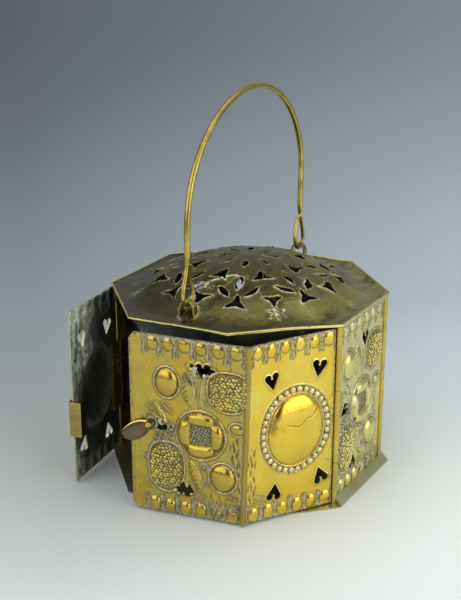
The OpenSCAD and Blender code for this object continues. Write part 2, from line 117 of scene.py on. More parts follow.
def turned(u, v, degrees):
    """The same place in a frame that has been turned to the left by the angle."""
    a = math.radians(degrees)
    c, s = math.cos(a), math.sin(a)
    return u * c + v * s, v * c - u * s


def heart_field(x, z, cx, cz, angle, lobe):
    """Distance outside a heart with its point down, negative inside it."""
    u, v = turned(x - cx, z - cz, -angle)
    u, v = np.abs(u) / lobe, v / lobe
    lobes = np.hypot(u - 1.15, v - 1) - 0.95
    wedge = u * 0.853 - (v + 2.7) * 0.522
    notch = v - np.minimum(0.35 + 0.565 * u, 1.7 - 0.611 * u)
    return np.minimum(lobes, np.maximum(wedge, notch)) * lobe


def hearts_field(x, z, hearts):
    f = np.full_like(x, 1e3)
    for h in hearts:
        f = np.minimum(f, heart_field(x, z, *h))
    return f


def line_distance(x, z, points):
    """Distance from a line of straight runs, and how far a place lies above it."""
    near, above = np.full_like(x, 1e3), np.zeros_like(x)
    for (ax, az), (bx, bz) in zip(points[:-1], points[1:]):
        dx, dz = bx - ax, bz - az
        run = math.hypot(dx, dz)
        s = np.clip(((x - ax) * dx + (z - az) * dz) / run ** 2, 0, 1)
        d = np.hypot(x - ax - s * dx, z - az - s * dz)
        side = ((z - az) * dx - (x - ax) * dz) / run
        closer = d < near
        near, above = np.where(closer, d, near), np.where(closer, side, above)
    return near, above


def blade(x, z, p, q, half_width):
    """Across-to-width ratio and place along a pointed leaf from p to q."""
    d = np.array(q, float) - np.array(p, float)
    length = np.hypot(*d)
    d /= length
    s = ((x - p[0]) * d[0] + (z - p[1]) * d[1]) / length
    t = -(x - p[0]) * d[1] + (z - p[1]) * d[0]
    width = half_width * np.sin(np.pi * np.clip(s, 0.001, 0.999)) ** 0.75
    ratio = np.where((s > 0) & (s < 1), np.abs(t) / np.maximum(width, 0.05), 9.0)
    return ratio, s, t


class Relief:
    """Height and marks of one panel, gathered shape by shape.

    grime is dark dirt in recesses, and on the cracked boss also a patch of painted dark reflection; pale is
    dried polish along outlines, punch is stippled ground.
    """

    def __init__(self, x, z, seed):
        self.x, self.z, self.seed = x, z, seed
        self.h = np.zeros_like(x)
        self.grime = np.zeros_like(x)
        self.pale = np.zeros_like(x)
        self.punch = np.zeros_like(x)

    def dirt(self, amount):
        self.grime = np.maximum(self.grime, np.clip(amount, 0, 1))

    def polish(self, amount):
        broken = 0.62 + 0.38 * ripple(self.x, self.z, self.seed + 3, 9)
        self.pale = np.maximum(self.pale, np.clip(amount, 0, 1) * broken)

    def ground(self, amount):
        self.punch = np.maximum(self.punch, np.clip(amount, 0, 1))

    def outline(self, d, ridge=0.8, at=1.5):
        """Raised wire-like line at a distance outside a shape, with dirt and polish along it."""
        self.h += ridge * bump(d - at, 0.62)
        self.dirt(bump(d - at + 1.05, 0.55))
        self.dirt(0.9 * bump(d - at - 1.15, 0.5))
        self.polish(bump(d - at - 0.2, 0.5))

    def edge_drops(self, away, centre, shape, chalk):
        """Keyhole recesses that hang from an edge; shape gives their half widths down from it."""
        start = centre - (DROP_COUNT - 1) * PITCH / 2
        k = np.clip(np.round((self.x - start) / PITCH), 0, DROP_COUNT - 1)
        u = np.abs(self.x - (start + k * PITCH) - 0.5 * np.sin(k * 2.4 + self.seed))
        reach = away + 0.9 * np.sin(k * 1.7 + 2 * self.seed)
        d = u - np.interp(reach, *shape)
        here = ease(shape[0][-1] + 1, shape[0][-1], reach)
        cut = ease(0.4, -0.4, d)
        self.h -= 0.9 * cut
        self.dirt(cut * (0.62 + 0.3 * ripple(self.x, self.z, self.seed, 4)))
        self.dirt(1.1 * bump(d - 0.75, 0.5) * here)
        self.polish(1.3 * chalk * bump(d + 0.2, 0.5) * here)
        self.polish(chalk * bump(np.hypot(u, away - 1.8) - 0.3, 1.1))
        self.ground(cut)

    def eggs(self, away, centre, at, half_width, half_height, height):
        """Row of raised eggs between the drops of the same edge."""
        start = centre - (DROP_COUNT - 2) * PITCH / 2
        k = np.clip(np.round((self.x - start) / PITCH), 0, DROP_COUNT - 2)
        grow = 1 + 0.07 * np.sin(k * 2.9 + self.seed)
        q, d = oval(self.x, away, start + k * PITCH, at + 0.4 * np.sin(k * 1.9 + self.seed),
                    half_width * grow, half_height * grow)
        self.h += dome(q, height, 0.58)
        self.dirt(0.9 * bump(d - 0.45, 0.45))
        self.polish(0.5 * bump(d - 1.1, 0.4))

    def framed_disc(self, cx, cz, a, b, height):
        q, d = oval(self.x, self.z, cx, cz, a, b)
        self.h += dome(q, height, 0.52)
        self.outline(d)

    def leaf(self, p, q, half_width, height, veins=0.0, hollow=0.0):
        """Pointed leaf from p to q; veins cut its left half, hollow darkens its middle."""
        ratio, s, t = blade(self.x, self.z, p, q, half_width)
        inside = ratio < 1
        body = np.where(inside, np.sqrt(np.clip(1 - ratio ** 2, 0, 1)), 0)
        ribs = np.sin(s * 46 - np.abs(t) * 1.3) * (t < -0.15 * half_width) * veins
        self.h += height * body * (1 - 1.6 * hollow * (ratio < 0.7)) + 0.35 * ribs * body
        self.dirt(np.where(inside, 0.75 * (ribs < -0.35) + hollow * (ratio < 0.75), 0))
        self.dirt(0.9 * bump(ratio - 1.0 - 0.9 / half_width, 0.5 / half_width) * (ratio < 3))
        self.polish(0.85 * bump(ratio - 1.0, 0.42 / half_width) * (ratio < 3))

    def line(self, points, pale=0.7, dark=0.8, ridge=0.4, width=0.45):
        """Chased line along straight runs, raised and dried over on one side and dark on the other."""
        d, above = line_distance(self.x, self.z, points)
        self.h += ridge * bump(d, 0.7)
        self.polish(pale * bump(d, width))
        self.dirt(dark * bump(d - 0.9, width) * (above < 0))

    def scrolls(self, cx, low, high, half, amount):
        """Tangle of small chased leafage in an upright strip."""
        x, z = self.x - cx, self.z
        inside = ease(half, half - 1.5, np.abs(x)) * ease(low - 3, low + 3, z) * ease(high + 3, high - 3, z)
        wave = np.sin(z * 0.55 + 2.2 * np.sin(x * 0.9)) + np.sin(x * 1.9 + 1.5 * np.sin(z * 0.34 + self.seed))
        self.h += 0.3 * wave * inside
        self.dirt(amount * inside * ease(0.1, -0.9, wave))
        self.polish(0.7 * amount * inside * bump(wave - 0.25, 0.18))

    def bunch(self, cx, cz, a, b, height):
        """Bunch of grapes, squarer than an ellipse above and rounder below."""
        u, v = np.abs(self.x - cx) / a, (self.z - cz) / b
        power = np.where(v > 0, 2.7, 2.1)
        q = (u ** power + np.abs(v) ** power) ** (1 / power) + 1e-6
        self.h += dome(q, height, 0.45)
        self.dirt(np.where(q < 1, 0.35 + 0.45 * ease(-0.9, 0.5, v), 0))
        self.outline((q - 1) * min(a, b), 0.7, 1.3)

    def smudge(self, cx, cz, reach, amount):
        """Patch of dried polish and dirt in the ground between shapes."""
        d = np.hypot(self.x - cx, self.z - cz) / reach
        patch = ease(1.15, 0.25, d + 0.3 * ripple(self.x, self.z, self.seed, 7))
        self.dirt(amount * patch)
        self.polish(0.7 * amount * patch * (ripple(self.x, self.z, self.seed + 1, 4.5) > 0.05))
        self.ground(patch)


PITCH = 13.0
DROP_COUNT = 7
TOP_DROP = ([0, 1.5, 5, 10, 13.5, 16, 17.3, 18], [2.9, 2.5, 1.25, 1.05, 1.8, 1.6, 0.5, -2])
FOOT_DROP = ([0, 2, 4, 11, 13.5, 15.5, 16.3], [1.9, 1.6, 1.0, 1.1, 1.8, 0.9, -2])
OVAL_MIDDLE = 74.8
OVAL_HALF = (24.7, 30.0)
BEAD_OFFSET, BEAD_COUNT = 4.6, 34
GRAPE_PITCH = 2.75
OVAL_HEARTS = [(-22.4, 120.9, -10, 3.1), (20.1, 124, 9, 3.1), (-18.6, 23.9, 186, 3.1), (23.6, 29.4, 165, 3.1)]
GRAPE_HEARTS = [(4.5, 129, 0, 2.8), (-31, 78, 60, 2.6), (-12, 25, 180, 2.8)]
BUNCHES = [(23.4, 113, 14.8, 15.4), (-26.5, 42.5, 13.9, 19.8)]
ROUNDEL = (2, 74)
SMUDGES = [
    # middle, reach and amount of the dirt and dried polish between the shapes
    (-24, 75, 10, 1.0), (-31, 67, 9, 0.85), (-39, 80, 9, 0.75), (-22, 63, 8, 0.7), (-13, 55, 5, 0.6),
    (7, 47, 6, 0.8), (6, 33, 5, 0.7), (8, 103, 5, 0.5), (2, 19, 8, 0.5), (15, 12, 9, 0.85),
    (30, 15, 8, 0.7), (-38, 92, 6, 0.6), (27, 24, 7, 0.6), (-41, 50, 6, 0.7), (-42, 26, 5, 0.5),
]


def hearts_of(sheet):
    hearts = OVAL_HEARTS if sheet.kind == "oval" else GRAPE_HEARTS
    return [(sheet.centre + x, z, angle, lobe) for x, z, angle, lobe in hearts]


def edge_bands(r, sheet):
    """Drops and eggs along the top and the foot; a wall's eggs stand higher, over the foot moulding."""
    down, up = sheet.high - r.z, r.z - sheet.low
    r.eggs(down, sheet.middle, 6.6, 4.4, 5.4, 1.7)
    r.edge_drops(down, sheet.middle, TOP_DROP, 0.75)
    r.eggs(up, sheet.middle, 9.8 if sheet.body == "case" else 6.4, 4.8, 6.4, 2.8)
    r.edge_drops(up, sheet.middle, FOOT_DROP, 1.0)


def edge_dirt(r, sheet):
    """Dirt and dried polish along the four edges, and a faint fold along the two upright edges."""
    for d in (r.x - sheet.x0, sheet.x1 - r.x):
        r.dirt(0.8 * ease(2.4, 0.3, d + 0.6 * ripple(r.x, r.z, r.seed, 11)))
        r.polish(0.5 * bump(d - 0.6, 0.5))
        r.h += 0.35 * bump(d - 3.6, 0.8)
    for d in (r.z - sheet.low, sheet.high - r.z):
        r.dirt(0.95 * ease(2.6, 0.6, d + 0.8 * ripple(r.x, r.z, r.seed + 5, 9)))
        r.polish(0.9 * bump(d - 1.4, 1.1) * (ripple(r.x, r.z, r.seed + 6, 6) > -0.2))


def heart_lips(r, sheet):
    """Burr that the punch has raised round each heart."""
    lip = hearts_field(r.x, r.z, hearts_of(sheet))
    r.h += 0.6 * bump(lip, 0.9)
    r.polish(0.6 * bump(lip - 0.4, 0.4))
    r.dirt(0.25 * bump(lip - 1.6, 0.6))


def oval_relief(sheet, x, z):
    """Oval boss in a ring, whose beads are pieces of their own, and four hearts."""
    c, seed = sheet.centre, sheet.seed
    r = Relief(x, z, seed)
    edge_bands(r, sheet)
    q, d = oval(x, z, c, OVAL_MIDDLE, *OVAL_HALF)
    r.h += dome(q, 6.6, 0.6)
    r.h += 1.1 * bump(d - 1.2, 0.6)
    r.dirt(0.9 * bump(d - 0.15, 0.4))
    r.polish(1.5 * bump(d - 1.3, 0.75) * (0.7 + 0.3 * np.sin(np.arctan2(z - OVAL_MIDDLE, x - c) * 2 + 1)))
    channel = ease(1.9, 2.5, d) * ease(7.4, 6.7, d)
    r.h -= 0.5 * channel
    r.dirt(channel)
    r.polish(0.9 * channel * (ripple(x, z, seed + 2, 5) > -0.15))
    r.h += 0.3 * bump(d - 8.1, 0.7)
    r.dirt(0.7 * bump(d - 7.6, 0.5))
    r.polish(0.7 * bump(d - 8.5, 0.5) * (ripple(x, z, seed + 4, 11) > -0.2))
    edge_dirt(r, sheet)
    heart_lips(r, sheet)
    return r


def grape_relief(sheet, x, z):
    """Roundel between two discs and two bunches of grapes, with leaves and chased leafage."""
    c, seed = sheet.centre, sheet.seed
    r = Relief(x, z, seed)
    edge_bands(r, sheet)
    for cx, cz, reach, amount in SMUDGES:
        r.smudge(c + cx, cz, reach, amount)
    r.framed_disc(c - 25, 114.8, 9.0, 11.8, 4.4)
    r.framed_disc(c + 20, 39.8, 9.7, 11.5, 4.4)
    for cx, cz, a, b in BUNCHES:
        r.bunch(c + cx, cz, a, b, 3.2)
    r.leaf((c - 9.5, 127), (c - 6, 97), 5.4, 1.3, veins=1.0)
    r.leaf((c - 10.2, 126.4), (c - 3.8, 114.7), 2.6, 0.8, hollow=0.8)
    r.line([(c + 3.2, 119), (c + 2.4, 108), (c + 3.1, 98.5)])
    r.line([(c + 1.2, 118), (c + 0.6, 108), (c + 1.4, 98)], pale=0.3)
    r.leaf((c - 36, 97.5), (c - 25.2, 79.6), 2.2, 1.5)
    r.leaf((c - 31, 99.5), (c - 19.4, 87.6), 2.3, 1.2, veins=0.8)
    r.leaf((c - 6.6, 52), (c + 3.3, 25.5), 4.0, 1.6, veins=-1.0)
    r.leaf((c + 1, 53), (c + 8.2, 44), 2.4, 1.1)
    r.line([(c + 11, 24), (c + 14, 20), (c + 13, 12)])
    r.line([(c + 18, 24), (c + 21, 16), (c + 19, 8)], pale=0.4)
    r.scrolls(c + 28.5, 46, 76, 4.2, 0.85)
    r.scrolls(c + 33, 22, 60, 2.6, 0.7)
    r.scrolls(c + 12, 16, 26, 3.4, 0.6)
    q, d = oval(x, z, c + 30.6, 83.6, 5.3, 4.4)
    r.h += dome(q, 2.0)
    r.outline(d, 0.4, 1.0)
    u, v = x - (c + ROUNDEL[0]), z - ROUNDEL[1]
    rr = np.hypot(u, v * 0.95)
    r.outline(rr - 18.4, 1.2, 1.5)
    major, minor = np.maximum(np.abs(u), np.abs(v)), np.minimum(np.abs(u), np.abs(v))
    inside = rr < 17.9
    lens = np.clip((major - 8.2) * (17.9 - rr) / 22.0, 0, 1) * inside
    lens *= np.clip(1 - (minor / 10.4) ** 6, 0, 1)
    r.h += 3.4 * np.sqrt(lens)
    r.dirt(np.where(inside & (lens < 0.03), 0.9, 0))
    r.dirt(0.5 * bump(major - 8.4, 0.5) * inside)
    square = inside & (major < 7.9)
    r.ground(np.where(square, 1.0, 0))
    r.dirt(np.where(square, 0.75 + 0.2 * ripple(x, z, seed, 3), 0))
    r.polish(np.where(square, 0.75, 0) * (ripple(x, z, seed + 4, 3.2) > 0.1))
    r.h += np.where(square, 0.3 * np.sin(u * 2.1) * np.sin(v * 2.1), 0)
    edge_dirt(r, sheet)
    heart_lips(r, sheet)
    return r


# Meshes


def clip_grid(xs, zs, field):
    """Polygons of a grid inside field > 0, cut along its zero line. Returns points and faces."""
    X, Z = np.meshgrid(xs, zs, indexing="ij")
    F = field(X, Z)
    F[np.abs(F) < 1e-5] = 1e-5
    keep = F > 0
    index = -np.ones(F.shape, int)
    index[keep] = np.arange(keep.sum())
    points = [np.stack([X[keep], Z[keep]], 1)]
    count = int(keep.sum())
    a, b, c, d = index[:-1, :-1], index[1:, :-1], index[1:, 1:], index[:-1, 1:]
    full = (a >= 0) & (b >= 0) & (c >= 0) & (d >= 0)
    some = ((a >= 0) | (b >= 0) | (c >= 0) | (d >= 0)) & ~full
    faces = np.stack([a[full], b[full], c[full], d[full]], 1).tolist()
    cuts, extra = {}, []

    def cut(p, q):
        key = (p, q) if p < q else (q, p)
        if key not in cuts:
            fp, fq = F[key[0]], F[key[1]]
            t = min(max(fp / (fp - fq), 0.03), 0.97)
            extra.append((
                X[key[0]] * (1 - t) + X[key[1]] * t,
                Z[key[0]] * (1 - t) + Z[key[1]] * t,
            ))
            cuts[key] = count + len(extra) - 1
        return cuts[key]

    for i, j in zip(*np.nonzero(some)):
        ring = [(i, j), (i + 1, j), (i + 1, j + 1), (i, j + 1)]
        face = []
        for n in range(4):
            p, q = ring[n], ring[(n + 1) % 4]
            if keep[p]:
                face.append(int(index[p]))
            if keep[p] != keep[q]:
                face.append(cut(p, q))
        if len(face) >= 3:
            faces.append(face)
    if extra:
        points.append(np.array(extra))
    return np.concatenate(points), faces


def add_object(name, mesh):
    obj = bpy.data.objects.new(name, mesh)
    bpy.context.collection.objects.link(obj)
    return obj


def grid_faces(rows, cols):
    return [[i * cols + j, (i + 1) * cols + j, (i + 1) * cols + j + 1, i * cols + j + 1]
            for i in range(rows - 1) for j in range(cols - 1)]


def sweep_faces(rings, around):
    """Faces of a closed bar, from rings that have the same number of points around."""
    faces = []
    for i in range(rings - 1):
        for k in range(around):
            m = (k + 1) % around
            faces.append([i * around + k, i * around + m, (i + 1) * around + m, (i + 1) * around + k])
    faces.append(list(range(around))[::-1])
    faces.append([(rings - 1) * around + k for k in range(around)])
    return faces


def add_smooth(name, mesh, sharp):
    """Adds a mesh that shades smooth, apart from edges that turn by more than sharp degrees."""
    mesh.polygons.foreach_set("use_smooth", np.ones(len(mesh.polygons), bool))
    mesh.update()
    mesh.set_sharp_from_angle(angle=math.radians(sharp))
    return add_object(name, mesh)


def shell(name, points, faces, front, back, marks, materials, matrix):
    """Closed sheet from two matching surfaces over the same polygons; front and back are 3-D points."""
    n = len(points)
    used = {}
    for f in faces:
        for k in range(len(f)):
            used[(f[k], f[(k + 1) % len(f)])] = True
    rim = [(p, q) for p, q in used if (q, p) not in used]
    everything = faces + [[v + n for v in reversed(f)] for f in faces]
    everything += [[q, p, p + n, q + n] for p, q in rim]
    mesh = bpy.data.meshes.new(name)
    mesh.from_pydata(np.concatenate([front, back]).tolist(), [], everything)
    kinds = np.zeros(len(everything), int)
    kinds[len(faces):2 * len(faces)] = 1
    kinds[2 * len(faces):] = 2
    mesh.polygons.foreach_set("material_index", kinds)
    for key, values in marks.items():
        layer = mesh.attributes.new(key, "FLOAT", "POINT")
        layer.data.foreach_set("value", np.concatenate([values, values]).astype(np.float32))
    for m in materials:
        mesh.materials.append(m)
    mesh.transform(TO_METRES @ matrix)
    return add_smooth(name, mesh, 52)


def lean_corner(obj, reach=4.8, sag=1.5):
    """Leans the wide door's corner towards the hinge at its top, as the bent sheet of the old piece does."""
    mesh = obj.data
    p = np.empty(3 * len(mesh.vertices), np.float32)
    mesh.vertices.foreach_get("co", p)
    p = p.reshape(-1, 3) / MM
    side, front = np.array(WIDE_PLACE.inverted()), np.array(FRONT_PLACE.inverted())
    along_side = p @ side[0, :3] + side[0, 3]
    along_front = p @ front[0, :3] + front[0, 3]
    t = np.clip(np.where(along_front < 0, 1 + along_front / FRONT_LEAF, -along_side / SIDE_LEAF), 0, 1)
    up = np.clip((p[:, 2] - DOOR_BOTTOM) / (DOOR_TOP - DOOR_BOTTOM), 0, 1)
    p += (reach * up * t ** 3.5)[:, None] * np.array(FRONT_PLACE)[:3, 0]
    p[:, 2] -= sag * t * up
    mesh.vertices.foreach_set("co", (p * MM).astype(np.float32).ravel())
    mesh.update()


class Sheet:
    """One repousse panel: its place, size, pattern and faults."""

    def __init__(self, node, body, kind, x0, x1, low, high, centre, middle, matrix, finish, seed):
        self.node, self.body, self.kind = node, body, kind
        self.x0, self.x1, self.low, self.high = x0, x1, low, high
        self.centre, self.middle, self.matrix, self.finish, self.seed = centre, middle, matrix, finish, seed
        self.clipped, self.tears, self.crack, self.soldered, self.smoked = 0.0, (), None, None, False

    def border(self, x, z):
        return np.minimum(np.minimum(x - self.x0, self.x1 - x), np.minimum(z - self.low, self.high - z))

    def field(self, x, z):
        f = self.border(x, z) + 0.001
        if self.clipped:
            f = np.minimum(f, ((x - self.x0) + (self.high - z) * 0.75 - self.clipped) * 0.8)
            f = np.minimum(f, ((x - self.x0) + (z - self.low) * 0.75 - self.clipped) * 0.8)
        f = np.minimum(f, hearts_field(x, z, hearts_of(self)))
        for cx, cz, a, b, angle in self.tears:
            u, v = turned(x - cx, z - cz, angle)
            ragged = 1 + 0.22 * np.sin(5 * np.arctan2(v, u) + self.seed)
            f = np.minimum(f, (np.hypot(u / a, v / b) - ragged) * min(a, b))
        return f

    def surface(self, x, z):
        r = (oval_relief if self.kind == "oval" else grape_relief)(self, x, z)
        r.h += 0.3 * ripple(x, z, self.seed, 62) + 0.1 * ripple(x, z, self.seed + 7, 23)
        if self.crack is not None:
            self.crack_boss(r, x, z)
        for cx, cz, a, b, angle in self.tears:
            d = np.hypot((x - cx) / (a + 2), (z - cz) / (b + 2))
            r.h += 0.8 * bump(d - 0.95, 0.22)
            r.polish(0.8 * bump(d - 0.86, 0.1) * (ripple(x, z, self.seed, 4) > -0.2))
            r.dirt(0.7 * bump(d - 1.22, 0.12))
        if self.soldered is not None:
            d = np.abs(x - self.soldered)
            r.dirt(0.7 * ease(2.1, 1.3, d))
            r.polish(bump(d - 1.1, 0.7))
        return r

    def crack_boss(self, r, x, z):
        """Crack in the boss with a patch of painted dark reflection on its upper left, and leafage beside the
        corner bead.

        The relief lies lower near the foot, most of all beside the hinge,
        so that the leaf clears the moulding.
        """
        d, above = line_distance(x, z, self.crack)
        r.h += 0.28 * ease(-5, 0.3, above) * ease(16, 3, d) - 0.55 * bump(d, 0.5)
        r.dirt(1.0 * bump(d, 0.42))
        # Painted dark reflection: a dark patch on the boss's upper left, carried in the grime mark.
        q, _ = oval(x, z, -59.2, 84, 4.2, 9)
        r.dirt(0.6 * ease(1.1, 0.5, q + 0.2 * ripple(x, z, 2, 9)))
        r.scrolls(self.x0 + 5.5, 10, 66, 4.5, 0.75)
        r.smudge(self.x0 + 13, 20, 9, 0.6)
        r.h *= (0.75 + 0.25 * ease(15, 23, z)) * (1 - 0.65 * ease(9.5, 4.5, z) * ease(-26, -15, x))

    def smoke(self, haze, x, z):
        """Pale bloom on the inside, strongest at the top, the free edge and the foot."""
        free = self.x1 - x + 3 * ripple(x, z, 4, 31)
        haze = np.maximum(haze, 1.3 * ease(50, 18, free) * ease(66, 112, z))
        haze = np.maximum(haze, 0.9 * ease(12, 3, free))
        haze = np.maximum(haze, 0.8 * ease(17, 8, free) * ease(46, 26, z) * ease(4, 12, z))
        return haze

    def make(self, step):
        xs = np.linspace(self.x0, self.x1, int((self.x1 - self.x0) / step) + 1)
        zs = np.linspace(self.low, self.high, int((self.high - self.low) / step) + 1)
        points, faces = clip_grid(xs, zs, self.field)
        x, z = points[:, 0], points[:, 1]
        r = self.surface(x, z)
        h = r.h * ease(0, 1.2, self.border(x, z) + 0.4)
        front = np.stack([x, -h, z], 1)
        back = np.stack([x, SHEET - 0.92 * h, z], 1)
        haze = 0.35 * r.grime
        if self.smoked:
            haze = self.smoke(haze, x, z)
        marks = {"grime": r.grime, "pale": r.pale, "punch": r.punch, "haze": haze}
        obj = shell(self.node + "_repousse", points, faces, front, back, marks,
                    [self.finish, leaf_inside if self.smoked else inner_brass, edge_brass], self.matrix)
        if self.body == "door_wide":
            lean_corner(obj)
        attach(obj, self.body)
        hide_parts(self.node)


def bead_group(material, rings, segments):
    """Geometry nodes that put a bead of the point's size and flatness on every point."""
    ng = bpy.data.node_groups.new("bead_row", "GeometryNodeTree")
    ng.interface.new_socket("Geometry", in_out="INPUT", socket_type="NodeSocketGeometry")
    ng.interface.new_socket("Geometry", in_out="OUTPUT", socket_type="NodeSocketGeometry")
    new = ng.nodes.new
    start, end = new("NodeGroupInput"), new("NodeGroupOutput")
    ball = new("GeometryNodeMeshUVSphere")
    ball.inputs["Segments"].default_value = segments
    ball.inputs["Rings"].default_value = rings
    smooth = new("GeometryNodeSetShadeSmooth")
    size = new("GeometryNodeInputNamedAttribute")
    size.data_type = "FLOAT_VECTOR"
    size.inputs["Name"].default_value = "size"
    spread = new("GeometryNodeInstanceOnPoints")
    real = new("GeometryNodeRealizeInstances")
    paint = new("GeometryNodeSetMaterial")
    paint.inputs["Material"].default_value = material
    link = ng.links.new
    link(ball.outputs["Mesh"], smooth.inputs["Geometry"])
    link(start.outputs[0], spread.inputs["Points"])
    link(smooth.outputs["Geometry"], spread.inputs["Instance"])
    link(size.outputs["Attribute"], spread.inputs["Scale"])
    link(spread.outputs["Instances"], real.inputs["Geometry"])
    link(real.outputs["Geometry"], paint.inputs["Geometry"])
    link(paint.outputs["Geometry"], end.inputs[0])
    return ng


def beads(name, points, sizes, matrix, material, rings=8, segments=14):
    mesh = bpy.data.meshes.new(name)
    mesh.from_pydata([tuple(p) for p in points], [], [])
    layer = mesh.attributes.new("size", "FLOAT_VECTOR", "POINT")
    layer.data.foreach_set("vector", np.asarray(sizes, np.float32).ravel())
    obj = add_object(name, mesh)
    mod = obj.modifiers.new("beads", "NODES")
    mod.node_group = bead_group(material, rings, segments)
    dg = bpy.context.evaluated_depsgraph_get()
    done = bpy.data.meshes.new_from_object(obj.evaluated_get(dg))
    obj.modifiers.remove(mod)
    obj.data = done
    if not done.materials:
        done.materials.append(material)
    done.transform(TO_METRES @ matrix)
    return obj


def tube(name, path, radii, material, segments=20, flat=1.0):
    """Wire along a path of millimetre points; flat under 1 presses it in its own plane's normal."""
    path = np.asarray(path, float)
    radii = np.broadcast_to(np.asarray(radii, float), (len(path),))
    tangent = np.gradient(path, axis=0)
    tangent /= np.linalg.norm(tangent, axis=1)[:, None]
    normal = np.array([1.0, 0.0, 0.0])
    rows, a = [], np.linspace(0, 2 * np.pi, segments, endpoint=False)
    for p, t, r in zip(path, tangent, radii):
        normal = normal - t * normal.dot(t)
        normal /= np.linalg.norm(normal)
        side = np.cross(t, normal)
        rows.append(p + r * (flat * np.cos(a)[:, None] * normal + np.sin(a)[:, None] * side))
    verts = np.concatenate(rows)
    faces = sweep_faces(len(path), segments)
    mesh = bpy.data.meshes.new(name)
    mesh.from_pydata((verts * MM).tolist(), [], faces)
    mesh.materials.append(material)
    return add_smooth(name, mesh, 60)


# Materials: short calls for nodes, then shared effects, then the finishes


class Tree:
    """Short calls for the nodes of one tree; where holds the object coordinates."""

    def __init__(self, tree):
        self.tree = tree
        self.where = None

    def new(self, kind):
        return self.tree.nodes.new("ShaderNode" + kind)

    def link(self, a, b):
        self.tree.links.new(a, b)

    def feed(self, value, socket):
        if isinstance(value, tuple):
            socket.default_value = (*value, 1) if len(value) == 3 and socket.type == "RGBA" else value
        elif isinstance(value, (int, float)):
            socket.default_value = value
        else:
            self.link(value, socket)

    def noise(self, scale, detail=3.0, rough=0.55, stretch=None):
        n = self.new("TexNoise")
        n.inputs["Detail"].default_value = detail
        n.inputs["Roughness"].default_value = rough
        self.feed(scale, n.inputs["Scale"])
        place = self.where
        if stretch is not None:
            m = self.new("Mapping")
            m.inputs["Scale"].default_value = stretch
            self.link(place, m.inputs["Vector"])
            place = m.outputs[0]
        self.link(place, n.inputs["Vector"])
        return n.outputs["Fac"]

    def cells(self, scale):
        n = self.new("TexVoronoi")
        n.inputs["Scale"].default_value = scale
        self.link(self.where, n.inputs["Vector"])
        return n.outputs["Distance"]

    def math(self, op, a, b=0.0, clamp=False):
        n = self.new("Math")
        n.operation, n.use_clamp = op, clamp
        self.feed(a, n.inputs[0])
        self.feed(b, n.inputs[1])
        return n.outputs[0]

    def times(self, a, b, clamp=False):
        return self.math("MULTIPLY", a, b, clamp)

    def plus(self, a, b, clamp=False):
        return self.math("ADD", a, b, clamp)

    def most(self, a, b, clamp=False):
        return self.math("MAXIMUM", a, b, clamp)

    def ramp(self, value, low, high, out_low=0.0, out_high=1.0):
        n = self.new("MapRange")
        for key, v in (("From Min", low), ("From Max", high), ("To Min", out_low), ("To Max", out_high)):
            self.feed(v, n.inputs[key])
        self.link(value, n.inputs["Value"])
        return n.outputs[0]

    def mix(self, factor, a, b):
        n = self.new("Mix")
        n.data_type = "RGBA"
        self.feed(factor, n.inputs["Factor"])
        for key, v in (("A", a), ("B", b)):
            self.feed(v, [s for s in n.inputs if s.name == key and s.type == "RGBA"][0])
        return [s for s in n.outputs if s.type == "RGBA"][0]

    def effect(self, group, **values):
        """Places a shared effect; its inputs are given by name, with _ for a space."""
        n = self.new("Group")
        n.node_tree = group
        for key, v in values.items():
            self.feed(v, n.inputs[key.replace("_", " ")])
        if "Place" in n.inputs:
            self.link(self.where, n.inputs["Place"])
        return n


class Effect(Tree):
    """A shader node group with named inputs and outputs."""

    KINDS = {"color": "NodeSocketColor", "value": "NodeSocketFloat", "place": "NodeSocketVector"}

    def __init__(self, name, inputs, outputs):
        super().__init__(bpy.data.node_groups.new(name, "ShaderNodeTree"))
        for way, sockets in (("INPUT", inputs), ("OUTPUT", outputs)):
            for label, kind in sockets.items():
                self.tree.interface.new_socket(label, in_out=way, socket_type=self.KINDS[kind])
        self.given = self.tree.nodes.new("NodeGroupInput").outputs
        self.result = self.tree.nodes.new("NodeGroupOutput").inputs
        self.where = self.given["Place"]


class Finish(Tree):
    """A material with a Principled shader on object coordinates."""

    def __init__(self, name):
        self.material = bpy.data.materials.new(name)
        self.material.use_nodes = True
        super().__init__(self.material.node_tree)
        self.tree.nodes.clear()
        out, self.shader = self.new("OutputMaterial"), self.new("BsdfPrincipled")
        self.link(self.shader.outputs[0], out.inputs[0])
        self.where = self.new("TexCoord").outputs["Object"]

    def mark(self, name):
        n = self.new("Attribute")
        n.attribute_name = name
        return n.outputs["Fac"]

    def worked(self, dents, scratches, grain):
        """Height of the hand worked surface, in millimetres."""
        return self.effect(HAND_WORK, Dents=dents, Scratches=scratches, Grain=grain).outputs["Height"]

    def done(self, color, metallic, rough, height=None):
        """Sets the shader; height is in millimetres."""
        self.feed(color, self.shader.inputs["Base Color"])
        self.feed(metallic, self.shader.inputs["Metallic"])
        self.feed(rough, self.shader.inputs["Roughness"])
        if height is not None:
            n = self.new("Bump")
            n.inputs["Distance"].default_value = MM
            self.link(height, n.inputs["Height"])
            self.link(n.outputs["Normal"], self.shader.inputs["Normal"])
        return self.material


def rubbed_metal_effect():
    """Warm and deep tones of rubbed metal under a broken film of tarnish."""
    e = Effect("rubbed_metal", {"Place": "place", "Bright": "color", "Deep": "color", "Film": "color",
                                "Film Amount": "value", "Cloud Scale": "value"},
               {"Color": "color", "Film": "value", "Rough": "value"})
    tone = e.mix(e.ramp(e.noise(e.given["Cloud Scale"], 4), 0.36, 0.66), e.given["Bright"], e.given["Deep"])
    film = e.ramp(e.noise(e.times(e.given["Cloud Scale"], 2.4), 6, 0.68), 0.42, 0.72)
    film = e.times(film, e.given["Film Amount"], clamp=True)
    e.link(e.mix(film, tone, e.given["Film"]), e.result["Color"])
    e.link(film, e.result["Film"])
    e.link(e.ramp(e.noise(110, 5, 0.7), 0.3, 0.72), e.result["Rough"])
    return e.tree


